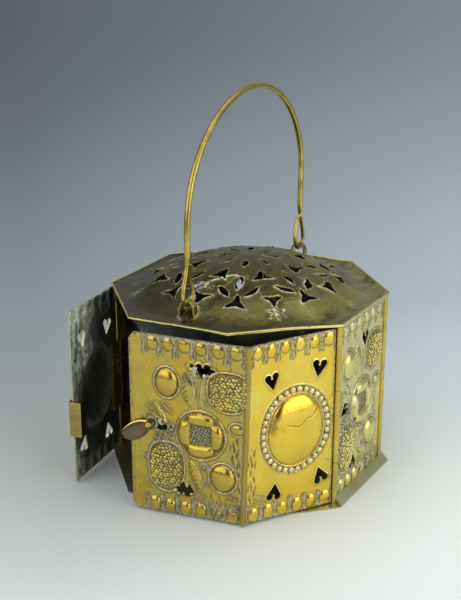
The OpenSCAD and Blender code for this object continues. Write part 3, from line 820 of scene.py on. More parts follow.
def recess_dirt_effect():
    """Dark dirt and pale dried polish over a metal colour, with small dark spots."""
    e = Effect("recess_dirt", {"Place": "place", "Metal": "color", "Dark": "color", "Green": "color",
                               "Chalk": "color", "Grime": "value", "Pale": "value", "Spots": "value"},
               {"Color": "color", "Cover": "value"})
    patchy = e.ramp(e.noise(480, 3), 0.25, 0.72, 0.45, 1.25)
    grime = e.times(e.given["Grime"], patchy, clamp=True)
    fleck = e.times(e.ramp(e.noise(640, 2), 0.67, 0.73), e.given["Spots"])
    blotch = e.times(e.ramp(e.noise(170, 4, 0.6), 0.68, 0.76), e.given["Spots"])
    grime = e.most(grime, e.most(fleck, blotch))
    chalk = e.times(e.given["Pale"], e.ramp(e.noise(560, 4, 0.65), 0.36, 0.54), clamp=True)
    dirt = e.mix(e.ramp(e.noise(700, 3), 0.46, 0.66), e.given["Dark"], e.given["Green"])
    color = e.mix(grime, e.given["Metal"], dirt)
    e.link(e.mix(chalk, color, e.given["Chalk"]), e.result["Color"])
    e.link(e.most(grime, chalk), e.result["Cover"])
    return e.tree


def hand_work_effect():
    """Height in millimetres of hammer dents, polishing scratches and grainy dirt."""
    e = Effect("hand_work", {"Place": "place", "Dents": "value", "Scratches": "value", "Grain": "value"},
               {"Height": "value"})
    dents = e.times(e.noise(120, 2), e.given["Dents"])
    lines = e.plus(e.noise(1500, 2, 0.5, (1, 1, 0.12)), e.noise(1300, 2, 0.5, (0.2, 0.2, 1)))
    lines = e.times(lines, e.given["Scratches"])
    grain = e.times(e.noise(1200, 3), e.given["Grain"])
    e.link(e.plus(e.plus(dents, lines), grain), e.result["Height"])
    return e.tree


RUBBED_METAL = rubbed_metal_effect()
RECESS_DIRT = recess_dirt_effect()
HAND_WORK = hand_work_effect()

VERDIGRIS = ((0.030, 0.031, 0.014), (0.125, 0.135, 0.075), (0.78, 0.79, 0.66))
SOOT = ((0.02, 0.02, 0.012), (0.055, 0.06, 0.04), (0.3, 0.31, 0.24))


def brass(name, bright, deep, film, film_amount=0.5, dirt=VERDIGRIS, rough=(0.12, 0.26), marks=False,
          spots=0.5, grime=0.0, dents=0.14, scratches=0.012, cloud=30.0):
    """Rubbed brass; with marks it also reads a sheet's grime, pale and punch."""
    n = Finish(name)
    metal = n.effect(RUBBED_METAL, Bright=bright, Deep=deep, Film=film, Film_Amount=film_amount,
                     Cloud_Scale=cloud)
    worn = n.effect(RECESS_DIRT, Metal=metal.outputs["Color"], Dark=dirt[0], Green=dirt[1], Chalk=dirt[2],
                    Grime=n.mark("grime") if marks else grime, Pale=n.mark("pale") if marks else 0.0,
                    Spots=spots)
    cover = worn.outputs["Cover"]
    height = n.worked(dents, scratches, n.times(cover, 0.3))
    if marks:
        height = n.plus(height, n.times(n.cells(760), n.times(n.mark("punch"), 0.5)))
    roughness = n.ramp(metal.outputs["Rough"], 0, 1, *rough)
    roughness = n.plus(roughness, n.times(metal.outputs["Film"], 0.08))
    roughness = n.plus(roughness, n.times(cover, 0.4), clamp=True)
    return n.done(worn.outputs["Color"], n.ramp(cover, 0.3, 1.0, 1.0, 0.15), roughness, height)


door_brass = brass("door_brass", (0.86, 0.67, 0.10), (0.83, 0.56, 0.055), (0.52, 0.44, 0.12), 0.35,
                   marks=True)
latch_side_brass = brass("latch_side_brass", (0.57, 0.455, 0.085), (0.68, 0.43, 0.05), (0.36, 0.34, 0.12),
                         0.7, marks=True, spots=0.9, dents=0.2, cloud=42)
wall_brass = brass("wall_brass", (0.84, 0.75, 0.30), (0.77, 0.65, 0.20), (0.56, 0.56, 0.31), 0.7,
                   marks=True)
bead_brass = brass("bead_brass", (0.86, 0.77, 0.34), (0.78, 0.62, 0.18), (0.70, 0.70, 0.48), 0.6, spots=0.4,
                   rough=(0.2, 0.36))
pale_bead_brass = brass("pale_bead_brass", (0.80, 0.74, 0.38), (0.70, 0.62, 0.26), (0.46, 0.46, 0.28), 0.6,
                        spots=0.4)
grape_brass = brass("grape_brass", (0.76, 0.64, 0.17), (0.62, 0.50, 0.12), (0.34, 0.34, 0.17), 0.9,
                    spots=0.8)
trim_brass = brass("trim_brass", (0.70, 0.54, 0.10), (0.62, 0.43, 0.06), (0.36, 0.33, 0.15), 0.7,
                   rough=(0.16, 0.3))
wall_grape_brass = brass("wall_grape_brass", (0.78, 0.69, 0.26), (0.68, 0.57, 0.18), (0.42, 0.43, 0.24),
                         0.8, spots=0.6)
wire_brass = brass("wire_brass", (0.59, 0.47, 0.12), (0.40, 0.29, 0.06), (0.20, 0.17, 0.07), 0.9, SOOT,
                   (0.14, 0.3))
base_brass = brass("base_brass", (0.64, 0.59, 0.31), (0.50, 0.46, 0.20), (0.48, 0.51, 0.38), 0.8, VERDIGRIS,
                   (0.26, 0.42), grime=0.12)
worn_trim = brass("worn_trim", (0.50, 0.37, 0.05), (0.43, 0.26, 0.03), (0.34, 0.31, 0.12), 0.8,
                  rough=(0.2, 0.36))
keeper_brass = brass("keeper_brass", (0.52, 0.42, 0.13), (0.44, 0.33, 0.08), (0.22, 0.2, 0.1), 0.8, SOOT,
                     (0.2, 0.35))
edge_brass = brass("edge_brass", (0.66, 0.60, 0.34), (0.56, 0.48, 0.22), (0.3, 0.31, 0.2), 0.8,
                   rough=(0.25, 0.4))
# Bright edge finish: worn bright metal on cut edges, and a painted highlight on the lid's rim edge and the
# latch's lower roll.
bright_edge = brass("bright_edge", (0.92, 0.82, 0.26), (0.86, 0.70, 0.18), (0.6, 0.56, 0.24), 0.3,
                    rough=(0.22, 0.35))
# Near-black brass of the latch: painted shade for the button's top face, which faces away from the lamps.
latch_brass = brass("latch_brass", (0.115, 0.095, 0.05), (0.085, 0.062, 0.03), (0.07, 0.055, 0.03), 0.7,
                    SOOT, (0.3, 0.45))


def inner_metal(name, bright, deep, film):
    """Smoked inside of the sheets, with pale corroded patches that run down from the edges."""
    n = Finish(name)
    metal = n.effect(RUBBED_METAL, Bright=bright, Deep=deep, Film=film, Film_Amount=0.75, Cloud_Scale=42.0)
    streak = n.ramp(n.noise(190, 4, 0.65, (1, 1, 0.2)), 0.38, 0.62)
    flake = n.ramp(n.noise(260, 5, 0.7), 0.42, 0.6)
    patch = n.times(n.ramp(n.noise(38, 6, 0.72), 0.57, 0.7), flake)
    haze = n.times(n.mark("haze"), n.plus(n.times(streak, 0.7), n.times(flake, 0.5)))
    patch = n.most(n.times(patch, 0.7), haze, clamp=True)
    color = n.mix(patch, metal.outputs["Color"], (0.58, 0.61, 0.49))
    height = n.worked(0.3, 0.02, 0.14)
    return n.done(color, n.ramp(patch, 0, 1, 0.6, 0.1), n.ramp(patch, 0, 1, 0.4, 0.7), height)


def lid_metal():
    """Olive brown patina, worn bright along the cut edges and in the stamped stars, with painted shade on the
    left flank, painted light and painted streaks of sheen on the right flank, and painted highlights along
    the crease, the lobes' folds and the rings round the eye feet.
    """
    n = Finish("lid_patina")
    metal = n.effect(RUBBED_METAL, Bright=(0.175, 0.152, 0.042), Deep=(0.108, 0.088, 0.024),
                     Film=(0.19, 0.19, 0.07), Film_Amount=0.5, Cloud_Scale=24.0)
    across = n.new("SeparateXYZ")
    turned = n.new("Mapping")
    turned.inputs["Rotation"].default_value = (0, 0, math.radians(-24))
    n.link(n.where, turned.inputs["Vector"])
    n.link(turned.outputs[0], across.inputs[0])
    # Painted light and shade: lit_side runs across the lid from the left flank to the right; the left flank
    # is darkened as painted shade and the right flank lightened as painted light.
    lit_side = n.plus(across.outputs[0], n.times(n.ramp(n.noise(26, 4), 0.3, 0.7, -0.5, 0.5), 0.06))
    smoke = n.mix(n.ramp(lit_side, 0.04, -0.08, 0.12, 0.88), metal.outputs["Color"], (0.075, 0.064, 0.024))
    smoke = n.mix(n.ramp(lit_side, 0.03, 0.09, 0.0, 0.85), smoke, (0.38, 0.35, 0.10))
    # Worn bright cut edges, rim and stars, and from the edge mark also painted highlights along the crease,
    # the lobes' folds and the rings round the eye feet.
    worn = n.times(n.mark("edge"), n.ramp(n.noise(240, 3), 0.34, 0.58))
    worn = n.most(worn, n.times(n.mark("chased"), n.ramp(n.noise(620, 3), 0.4, 0.58, 0.1, 1.0)))
    worn = n.most(worn, n.ramp(n.noise(700, 2), 0.69, 0.76, 0.0, 0.45), clamp=True)
    dark = n.ramp(n.noise(58, 5, 0.66, (1, 0.42, 1)), 0.5, 0.62, 0.0, 0.72)
    smoke = n.mix(dark, smoke, (0.055, 0.045, 0.018))
    # Painted sheen: streaky highlights, strongest on the right flank.
    gleam = n.ramp(n.noise(46, 5, 0.7, (0.5, 1, 1)), 0.57, 0.68, 0.0, 0.6)
    smoke = n.mix(n.times(gleam, n.ramp(lit_side, -0.05, 0.05, 0.08, 1.0)), smoke, (0.36, 0.335, 0.085))
    color = n.mix(worn, smoke, (0.80, 0.76, 0.50))
    height = n.worked(0.7, 0.02, 0.05)
    rough = n.ramp(metal.outputs["Rough"], 0, 1, 0.2, 0.4)
    return n.done(color, 0.95, rough, height)


def iron():
    """Iron of the coal pan."""
    n = Finish("pan_iron")
    soot = n.ramp(n.noise(90, 6, 0.7), 0.4, 0.65)
    color = n.mix(soot, (0.02, 0.019, 0.018), (0.06, 0.052, 0.045))
    height = n.worked(0.3, 0.0, 0.5)
    return n.done(color, 0.5, n.ramp(soot, 0, 1, 0.55, 0.8), height)


def steel():
    """Steel of the hinge pins."""
    n = Finish("hinge_steel")
    color = n.mix(n.ramp(n.noise(300, 4), 0.4, 0.65), (0.32, 0.29, 0.24), (0.16, 0.12, 0.08))
    height = n.worked(0.05, 0.02, 0.1)
    return n.done(color, 0.9, 0.45, height)


def solder():
    """Dull pale strip and solder, greyed in patches."""
    n = Finish("solder")
    grey = n.ramp(n.noise(240, 5, 0.7), 0.4, 0.62)
    color = n.mix(grey, (0.62, 0.60, 0.42), (0.33, 0.34, 0.26))
    height = n.worked(0.2, 0.02, 0.35)
    return n.done(color, 0.75, n.ramp(grey, 0, 1, 0.3, 0.55), height)


inner_brass = inner_metal("inner_brass", (0.040, 0.045, 0.034), (0.018, 0.021, 0.016), (0.08, 0.088, 0.068))
leaf_inside = inner_metal("leaf_inside", (0.10, 0.115, 0.092), (0.040, 0.048, 0.038), (0.17, 0.19, 0.15))
lid_patina = lid_metal()
pan_iron = iron()
hinge_steel = steel()
pale_solder = solder()


# Walls and door leaves


def ring_beads(sheet):
    """Places and sizes of the beads round an oval boss, at even steps along its ring."""
    a, b = OVAL_HALF[0] + BEAD_OFFSET, OVAL_HALF[1] + BEAD_OFFSET
    t = np.linspace(0, 2 * np.pi, 721)
    x, z = a * np.cos(t), b * np.sin(t)
    run = np.concatenate([[0], np.cumsum(np.hypot(np.diff(x), np.diff(z)))])
    at = np.interp(np.arange(BEAD_COUNT) * run[-1] / BEAD_COUNT, run, t)
    px, pz = sheet.centre + a * np.cos(at), OVAL_MIDDLE + b * np.sin(at)
    rng = np.random.default_rng(7 + sheet.seed)
    size = rng.uniform(2.3, 2.7, BEAD_COUNT)
    return px, pz, np.stack([size * rng.uniform(0.9, 1.05, BEAD_COUNT), size * 0.65, size], 1)


def grape_beads(sheet):
    """Places and sizes of the grapes, in staggered rows that are a little out of line."""
    rng = np.random.default_rng(11 + sheet.seed)
    rows = []
    for cx, cz, a, b in BUNCHES:
        for i in range(-9, 10):
            for j in range(-9, 10):
                x, z = (i + 0.5 * (j % 2)) * GRAPE_PITCH, j * GRAPE_PITCH * 0.87
                if abs(x / (a - 1.2)) ** 2.4 + abs(z / (b - 1.2)) ** 2.4 < 1:
                    rows.append((cx + x + rng.uniform(-0.6, 0.6), cz + z + rng.uniform(-0.6, 0.6)))
    p = np.array(rows)
    size = rng.uniform(0.85, 1.6, len(p))
    return sheet.centre + p[:, 0], p[:, 1], np.stack([size, size * 0.7, size], 1)


def add_beads(sheet, material):
    """Beads or grapes of a panel, partly sunk into its relief."""
    oval_kind = sheet.kind == "oval"
    px, pz, scale = (ring_beads if oval_kind else grape_beads)(sheet)
    py = -sheet.surface(px, pz).h - 0.35 * scale[:, 1]
    rings, segments = (9, 16) if oval_kind else (6, 10)
    places = np.stack([px, py, pz], 1)
    obj = beads(sheet.node + "_beads", places, scale, sheet.matrix, material, rings, segments)
    if sheet.body == "door_wide":
        lean_corner(obj)
    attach(obj, sheet.body)


def curled_flap(name, at, length, width, lean, curl, matrix, body):
    """Torn tongue of sheet that bends outwards; at is its root, lean its turn from straight down."""
    us, vs = np.linspace(0, 1, 17), np.linspace(-1, 1, 9)
    U, V = np.meshgrid(us, vs, indexing="ij")
    half = width / 2 * (1 - 0.55 * U ** 2) * (1 + 0.12 * np.sin(7 * U + V))
    t = math.radians(lean)
    along, across = U * length, V * half
    x = at[0] + along * math.sin(t) + across * math.cos(t)
    z = at[1] - along * math.cos(t) + across * math.sin(t)
    out = 0.3 + curl * np.sin(U * 2.4) + 0.5 * V * V * U
    faces = grid_faces(len(us), len(vs))
    points = np.stack([x.ravel(), z.ravel()], 1)
    front = np.stack([x.ravel(), -out.ravel() - 0.35, z.ravel()], 1)
    back = np.stack([x.ravel(), -out.ravel() + 0.35, z.ravel()], 1)
    # The flaps' fronts take the pale solder finish as a painted highlight on the curled tongues.
    obj = shell(name, points, faces, front, back, {}, [pale_solder, inner_brass, edge_brass], matrix)
    lean_corner(obj)
    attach(obj, body)


WALL_END = HALF_SIDE - 1.4
WALL_LEVELS = (BASE_TOP, LID_UNDER, 0.0, 0.0)
FINE_STEP, STEP = 0.56, 0.76
CRACK = [(-48.4, 82.7), (-42, 81.4), (-38.8, 80.1), (-34.4, 81.6), (-31.3, 85.3), (-26.1, 85.8),
         (-21.7, 88.8), (-16, 93.8)]
FRONT_TEARS = [
    # middle, half sizes and turn of the ragged holes around the worn hearts
    (-29.6, 128.6, 5.4, 2.6, 6), (-35.4, 129.4, 2.6, 4.0, 12), (-41.4, 131.2, 2.2, 1.3, -25),
    (-69.0, 77.6, 1.6, 5.6, 14),
    (-48.6, 24.6, 7.6, 2.2, -4), (-50.6, 27.4, 1.3, 2.6, 0), (-43.6, 26.4, 1.9, 3.0, 20),
]

SHEETS = [
    # node, body, pattern, edges, heights, pattern middle, band middle, place
    ("wall_right", "case", "grape", 3.0 - HALF_SIDE, WALL_END, *WALL_LEVELS, side_place(0)),
    ("wall_back_right", "case", "oval", -WALL_END, WALL_END, *WALL_LEVELS, side_place(45)),
    ("wall_back", "case", "grape", -WALL_END, WALL_END, *WALL_LEVELS, side_place(90)),
    ("wall_back_left", "case", "oval", -WALL_END, WALL_END, *WALL_LEVELS, side_place(135)),
    ("wall_left", "case", "grape", -WALL_END, HALF_SIDE - 3.0, *WALL_LEVELS, side_place(180)),
    ("wide_door_side_panel", "door_wide", "oval", 1.2 - SIDE_LEAF, -3.0, DOOR_BOTTOM, DOOR_TOP,
     4 - SIDE_LEAF / 2, -SIDE_LEAF / 2, WIDE_PLACE),
    ("wide_door_front_panel", "door_wide", "grape", -FRONT_LEAF - CLOSING_STRIP, -1.2, DOOR_BOTTOM, DOOR_TOP,
     4 - FRONT_LEAF / 2, -FRONT_LEAF / 2, FRONT_PLACE),
    ("narrow_door_panel", "door_narrow", "oval", 3.0, NARROW_LEAF, DOOR_BOTTOM, DOOR_TOP,
     1 + NARROW_LEAF / 2, 1 + NARROW_LEAF / 2, NARROW_PLACE),
]


def make_sheets():
    """All walls and door leaves; the wide door's two panels are finer, damaged and soldered together."""
    for seed, (node, body, kind, x0, x1, low, high, centre, middle, matrix) in enumerate(SHEETS, 1):
        sheet = Sheet(node, body, kind, x0, x1, low, high, centre, middle, matrix, wall_brass, seed)
        bead_finish = pale_bead_brass if kind == "oval" else wall_grape_brass
        if node == "wide_door_side_panel":
            sheet.finish, sheet.crack, sheet.soldered = door_brass, CRACK, x0
            bead_finish = bead_brass
        if node == "wide_door_front_panel":
            sheet.finish, sheet.tears, sheet.clipped, sheet.soldered = latch_side_brass, FRONT_TEARS, 4.0, x1
            bead_finish = grape_brass
        sheet.smoked = node == "narrow_door_panel"
        sheet.make(FINE_STEP if sheet.soldered is not None else STEP)
        add_beads(sheet, bead_finish)


def solder_seams():
    """Run of solder down both sides of the corner bead of the wide door."""
    for name, place, x in (("seam_front", FRONT_PLACE, -2.1), ("seam_side", WIDE_PLACE, 2.2 - SIDE_LEAF)):
        zs = np.linspace(DOOR_BOTTOM + 0.6, DOOR_TOP - 0.6, 90)
        path = [place @ Vector((x + 0.15 * math.sin(z * 0.21), -0.35, z)) for z in zs]
        obj = tube(name, path, 0.5 + 0.18 * np.sin(zs * 0.37 + x) + 0.1 * np.sin(zs * 1.3), pale_solder, 12)
        lean_corner(obj)
        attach(obj, "door_wide")
    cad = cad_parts["wide_door_bead"]
    mesh = cad.data.copy()
    mesh.transform(cad.matrix_world)
    mesh.materials.clear()
    mesh.materials.append(worn_trim)
    obj = add_object("leaning_corner_bead", mesh)
    lean_corner(obj)
    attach(obj, "door_wide")
    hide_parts("wide_door_bead")


make_sheets()
solder_seams()
for flap_name, root, length, width, lean, curl in (
    ("torn_heart_flap", (-38.9, 131.4), 7.4, 3.4, 8, 1.9),
    ("torn_heart_chip", (-31.6, 126.2), 3.4, 2.2, 10, 1.0),
    ("latch_heart_flap", (-68.4, 83.6), 5.6, 3.6, 35, 1.5),
    ("foot_heart_flap", (-55.2, 22.6), 4.0, 2.6, 75, 1.2),
):
    curled_flap(flap_name, root, length, width, lean, curl, FRONT_PLACE, "door_wide")


# Lid


def leaf_slot(u, v, length, width):
    """Distance outside a leaf with two pointed ends, negative inside it."""
    ball = (length * length + width * width) / (4 * width)
    return np.maximum(np.hypot(u, v - ball + width / 2), np.hypot(u, v + ball - width / 2)) - ball


def star_slot(u, v, reach):
    """Distance outside a three pointed star with hollow sides, negative inside it."""
    f = np.full_like(u, -1e3)
    for a in (60, 180, 300):
        c, s = math.cos(math.radians(a)), math.sin(math.radians(a))
        f = np.maximum(f, u * c + v * s - reach / 2)
        away = reach * (0.5 + 0.62 * 1.15)
        f = np.maximum(f, reach * 0.8 - np.hypot(u - away * c, v - away * s))
    return f


LARGEST_HOLE = 16
LID_HOLES = [
    # kind, turn of the arm, distance out, own turn, length or reach, width
    ("leaf", 22.5, 21, 0, 17, 6), ("star", 0, 44, 180, 11, 0), ("leaf", 22.5, 52, 0, 20, 7),
    ("leaf", -12, 64, -50, 19, 6.5), ("leaf", 12, 64, 50, 19, 6.5),
    ("star", 0, 75, 0, 10, 0), ("star", 22.5, 76, 180, 11, 0),
]


def lid_cuts(x, y):
    """Distance from the nearest opening of the lid, negative inside one."""
    x, y = x + 1.1 * ripple(x, y, 2, 23), y + 1.1 * ripple(x, y, 5, 21)
    f = np.full_like(x, 1e3)
    for arm in range(8):
        for kind, a, out, own, length, width in LID_HOLES:
            u, v = turned(x, y, arm * 45 + a)
            u -= out
            near = np.hypot(u, v) < LARGEST_HOLE
            p, q = turned(u[near], v[near], own)
            g = leaf_slot(p, q, length, width) if kind == "leaf" else star_slot(p, q, length)
            f[near] = np.minimum(f[near], g)
    return f + 0.45 + 0.4 * ripple(x, y, 8, 34)


def octagon_in(x, y, apothem):
    """Distance inside an octagon's nearest side."""
    f = np.full_like(x, 1e3)
    for k in range(8):
        a = math.radians(45 * k)
        f = np.minimum(f, apothem - x * math.cos(a) - y * math.sin(a))
    return f


LID_CREASE = [(-12, -90), (-9, -79), (-6, -67), (-3, -56), (10, -43), (22, -38)]
STARS = [(0, 97, 1.1), (45, 97, 1.4), (-45, 87, 1.7), (135, 95, 1.1), (-138, 95, 1.3), (180, 97, 1.1),
         (18, 100, 1.0), (-90, 62, 0.9)]  # turn around the lid, distance out, scale


def lid_petals(x, y, r):
    """Eight shallow lobes, one towards each corner, whose fold runs in towards the crown between the eyes."""
    t = np.arctan2(y, x) - HALF_CORNER
    t = (t + HALF_CORNER) % (2 * HALF_CORNER) - HALF_CORNER
    fold = 37 + 52 * np.abs(t / HALF_CORNER) ** 1.6 + 2 * np.sin(3 * np.arctan2(y, x))
    d = (r - fold) * np.clip(0.45 + 0.02 * (90 - r), 0.4, 1)
    strong = 0.45 + 0.55 * ease(-0.2, 0.9, np.cos(np.arctan2(y, x) + math.radians(72)))
    fade = ease(101, 88, r) * strong
    return (-0.9 * ease(-2, 6, d) + 0.35 * bump(d, 2.0)) * fade, bump(d, 0.7) * fade


def lid_lift(x, y):
    """How far the lid's rim has been bent up or down around its turn, most of it in front over the doors."""
    turn_of = np.degrees(np.arctan2(y, x))
    rise = np.interp(turn_of, (-180, -157.5, -112.5, -67.5, -45, -22.5, 0, 45, 90, 120, 150, 180),
                     (0.2, -0.8, -0.9, 2.9, 3.2, 1.7, 1.6, 1.8, 1.2, 2.3, 1.8, 0.2))
    width = np.interp(turn_of, (-180, -160, -140, -45, -25, 180), (9, 9, 30, 30, 9, 9))
    t = np.clip(1 - octagon_in(x, y, LID_REACH) / width, 0, 1)
    return rise * t * t * (3 - 2 * t)


def make_lid():
    """Domed lid with its openings, lobes, crease, stamped stars and bent rim."""
    xs = np.linspace(-LID_REACH, LID_REACH, 221)

    def sheet_left(x, y):
        return np.minimum(octagon_in(x, y, LID_REACH) + 0.001, lid_cuts(x, y))

    points, faces = clip_grid(xs, xs, sheet_left)
    x, y = points[:, 0], points[:, 1]
    r = np.hypot(x, y)
    crown = DOME_CENTRE + np.sqrt(np.clip(DOME_SPHERE ** 2 - r * r, 1, None))
    z = RIM_FLAT + np.logaddexp(0, (crown - RIM_FLAT) * 1.1) / 1.1 - 0.2
    cuts, rim = lid_cuts(x, y), octagon_in(x, y, LID_REACH)
    lift, fold = lid_petals(x, y, r)
    z += lid_lift(x, y) + 1.1 * ease(100, 62, r) + lift + 0.6 * bump(cuts - 0.1, 0.8) * ease(100, 92, r)
    z += 0.45 * np.sin(x * 0.06 + 1) * np.sin(y * 0.05) + 0.5 * ripple(x, y, 3, 55) * ease(0, 14, rim)
    z += 0.35 * bump(rim - 2.2, 1.0) - 0.5 * ease(1.4, 0, rim)
    foot = np.hypot(x, np.abs(y) - EYE_REACH)
    z += 2.4 * bump(foot, 9.5)
    crease, _ = line_distance(x, y, LID_CREASE)
    z += 1.1 * bump(crease, 1.8)
    chased = np.zeros_like(x)
    for degrees, out, size in STARS:
        a = math.radians(degrees)
        u, v = (x - out * math.cos(a)) / size, (y - out * math.sin(a)) / size
        rr, t = np.hypot(u, v), np.arctan2(v, u)
        star = bump(rr - 4.6 * (0.66 + 0.34 * np.cos(6 * (t - a))), 0.6) + bump(rr - 1.0, 0.5)
        z += 0.25 * star
        chased = np.maximum(chased, star)
    broken = 0.6 + 0.4 * ripple(x, y, 9, 12)
    # Painted highlight: a broken pale ring round the foot of each eye.
    ring = bump(foot - 8.2, 0.8) * ease(-0.2, 0.5, ripple(x, y, 4, 17) + 0.5)
    # edge: worn bright cut edges and rim, with painted highlights along the lobes' folds, the crease and the
    # rings round the eye feet.
    marks = {
        "edge": np.clip(bump(cuts, 0.7) * (0.4 + 0.6 * broken) + 1.2 * bump(rim, 0.8) + 0.25 * fold * broken
                        + 1.3 * bump(crease, 1.0) + ring, 0, 1),
        "chased": np.clip(chased, 0, 1),
    }
    top = np.stack([x, y, z], 1)
    under = np.stack([x, y, np.minimum(np.maximum(z - SHEET, LID_UNDER), z - 0.5)], 1)
    lid = shell("lid_pierced", points, faces, top, under, marks, [lid_patina, inner_brass, bright_edge],
                Matrix.Identity(4))
    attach(lid, "case")
    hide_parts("lid")


def rim_wire():
    """Rolled edge under the lid's rim, bright as worn metal and as a painted highlight."""
    reach = LID_REACH + 0.15
    half = reach * math.tan(HALF_CORNER)
    corner = half / math.sin(HALF_CORNER) - 0.1
    path = []
    for k in range(8):
        side = turn(k * 2 * HALF_CORNER)
        path += [side @ Vector((reach, y, 0)) for y in np.linspace(1.6 - half, half - 1.6, 15)]
        path.append(side @ Vector((reach, half - 0.5, 0)))
        path.append(side @ turn(HALF_CORNER) @ Vector((corner, 0, 0)))
        path.append(turn((k + 1) * 2 * HALF_CORNER) @ Vector((reach, 0.5 - half, 0)))
    path.append(path[0])
    p = np.array(path)
    p[:, 2] = RIM_FLAT - 0.65 + lid_lift(p[:, 0], p[:, 1])
    wire = tube("lid_rim_edge", p, 0.55, bright_edge, 8)
    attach(wire, "case")


def eye_strap(name, side):
    """Strip bent over the bail's loop, with its feet through the lid."""
    half, top, width, thick = 5.6, 170.4, 2.8, 1.1
    foot, knee, shoulder = 157.8, 160, 162.4
    arch = [(half * math.cos(a), top - half * (1 - math.sin(a))) for a in np.linspace(0, math.pi, 25)]
    path = [(half + 1.2, foot), (half + 0.4, knee), (half, shoulder)] + arch
    path += [(-half, shoulder), (-half - 0.4, knee), (-half - 1.2, foot)]
    p = np.array(path)
    along = np.gradient(p, axis=0)
    along /= np.linalg.norm(along, axis=1)[:, None]
    out = np.stack([along[:, 1], -along[:, 0]], 1)
    rows = []
    for (x, z), (nx, nz) in zip(p, out):
        for y, t in ((-width, 0), (width, 0), (width - 0.25, thick), (0.25 - width, thick)):
            rows.append((x + nx * t, side * EYE_REACH + y, z + nz * t))
    faces = sweep_faces(len(p), 4)
    mesh = bpy.data.meshes.new(name)
    mesh.from_pydata((np.array(rows) * MM).tolist(), [], faces)
    mesh.materials.append(wire_brass)
    obj = add_smooth(name + "_strap", mesh, 40)
    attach(obj, "case")
    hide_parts(name)


make_lid()
rim_wire()
eye_strap("bail_eye_front", -1)
eye_strap("bail_eye_back", 1)


# Bail


def arc(cy, cz, reach, a0, a1, steps):
    """Points of a round stretch in the bail's plane."""
    t = np.radians(np.linspace(a0, a1, steps))
    return [(0.0, cy + reach * math.cos(v), cz + reach * math.sin(v)) for v in t]


def spline(points, steps):
    """Smooth curve through points of the bail's plane."""
    p = np.asarray([points[0], *points, points[-1]], float)
    rows = []
    for i in range(1, len(p) - 2):
        for t in np.linspace(0, 1, steps, endpoint=False):
            a, b, c, d = p[i - 1], p[i], p[i + 1], p[i + 2]
            rows.append(0.5 * (2 * b + (c - a) * t + (2 * a - 5 * b + 4 * c - d) * t * t
                               + (3 * b - a - 3 * c + d) * t ** 3))
    rows.append(p[-1])
    return rows


def eye_loop(side):
    """Points of one end's loop, from the leg down through the eye and back up beside the leg."""
    local = [
        (0, 1, 200), (0, 3.6, 191), (0, 6.6, 181), (0, 7.2, 173.5), (0, 4.6, 168.6), (0, 0, 167.6),
        (0, -4.6, 168.6), (0, -7.4, 173.5), (-0.6, -6.8, 180), (-1.4, -4.2, 187), (-1.0, -1.8, 193),
        (1.6, -0.4, 198), (2.2, 1.6, 201),
    ]
    return [(x, side * (EYE_REACH + y), z) for x, y, z in local]


def make_bail():
    """Wire bail with a wider bend over the front eye, thinner wire in its loops and tapered ends."""
    path = spline(eye_loop(-1)[::-1], 8)[:-1]
    path += [(0, -BAIL_LEG, z) for z in np.linspace(202, 216, 6)]
    path += arc(ARCH_SHIFT, BAIL_TOP - LEFT_ARCH, LEFT_ARCH, 180, 90, 70)
    path += arc(ARCH_SHIFT, BAIL_TOP - RIGHT_ARCH, RIGHT_ARCH, 90, 0, 60)[1:]
    path += [(0, BAIL_LEG, z) for z in np.linspace(232, 202, 8)]
    path += spline(eye_loop(1), 8)[1:]
    p = np.array(path)
    end = np.minimum(np.arange(len(p)), np.arange(len(p))[::-1])
    low = ease(206, 196, p[:, 2])
    radius = (2.45 - 0.75 * low) * (0.55 + 0.45 * ease(0, 10, end))
    p[:, 0] += 0.35 * np.sin(p[:, 2] * 0.045 + p[:, 1] * 0.02) * (1 - low)
    bail = tube("bail_wire", p, radius, wire_brass, 24)
    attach(bail, "bail")
    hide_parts("bail")


make_bail()


# Latch button: a curved leaf in painted shade, with a fat lower edge in a painted highlight


def make_latch():
    """Leaf shaped button that is dished and tilted, with a roll along its lower edge."""
    tilt = math.radians(28)
    place = FRONT_PLACE @ shift(-FRONT_LEAF + LATCH_INSET, 0, LATCH_HEIGHT)
    place = place @ Matrix.Rotation(math.radians(188 - LATCH_DROOP), 4, "Y")
    length, width = 29.5, 10.0
    us, vs = np.linspace(-4, length - 4, 49), np.linspace(-1, 1, 21)
    U, V = np.meshgrid(us, vs, indexing="ij")
    s = (U + 4) / length
    across = V * width / 2 * np.sin(np.pi * np.clip(s, 0.012, 0.988)) ** 0.62
    out = -5.6 - across * math.tan(tilt)
    dish = 0.9 * (1 - V * V) * np.sin(np.pi * s)
    rolled = 0.9 * bump(V + 1, 0.3) * ease(0.1, 0.4, s)
    top = np.stack([U, out - 1.3 + dish * 0.4 - rolled, across], 2).reshape(-1, 3)
    low = np.stack([U, out + 1.3 + dish * 0.2, across], 2).reshape(-1, 3)
    faces = grid_faces(len(us), len(vs))
    points = np.stack([U.ravel(), across.ravel()], 1)
    # The leaf is in painted shade, its rim in the bright edge finish as a painted highlight.
    button = shell("latch_leaf", points, faces, top, low, {}, [latch_brass, latch_brass, bright_edge], place)
    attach(button, "latch")
    k = (np.abs(vs + 0.97)).argmin()
    # Roll along the lower edge, bright as a painted highlight.
    lower = [place @ Vector((U[i, k], out[i, k] - 0.9, across[i, k] + 0.3)) for i in range(3, len(us) - 1)]
    swell = np.sin(np.pi * np.linspace(0.08, 0.96, len(lower)))
    roll = tube("latch_lower_roll", lower, 0.35 + 1.0 * swell, bright_edge, 12)
    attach(roll, "latch")


make_latch()


# Carried-over CAD pieces

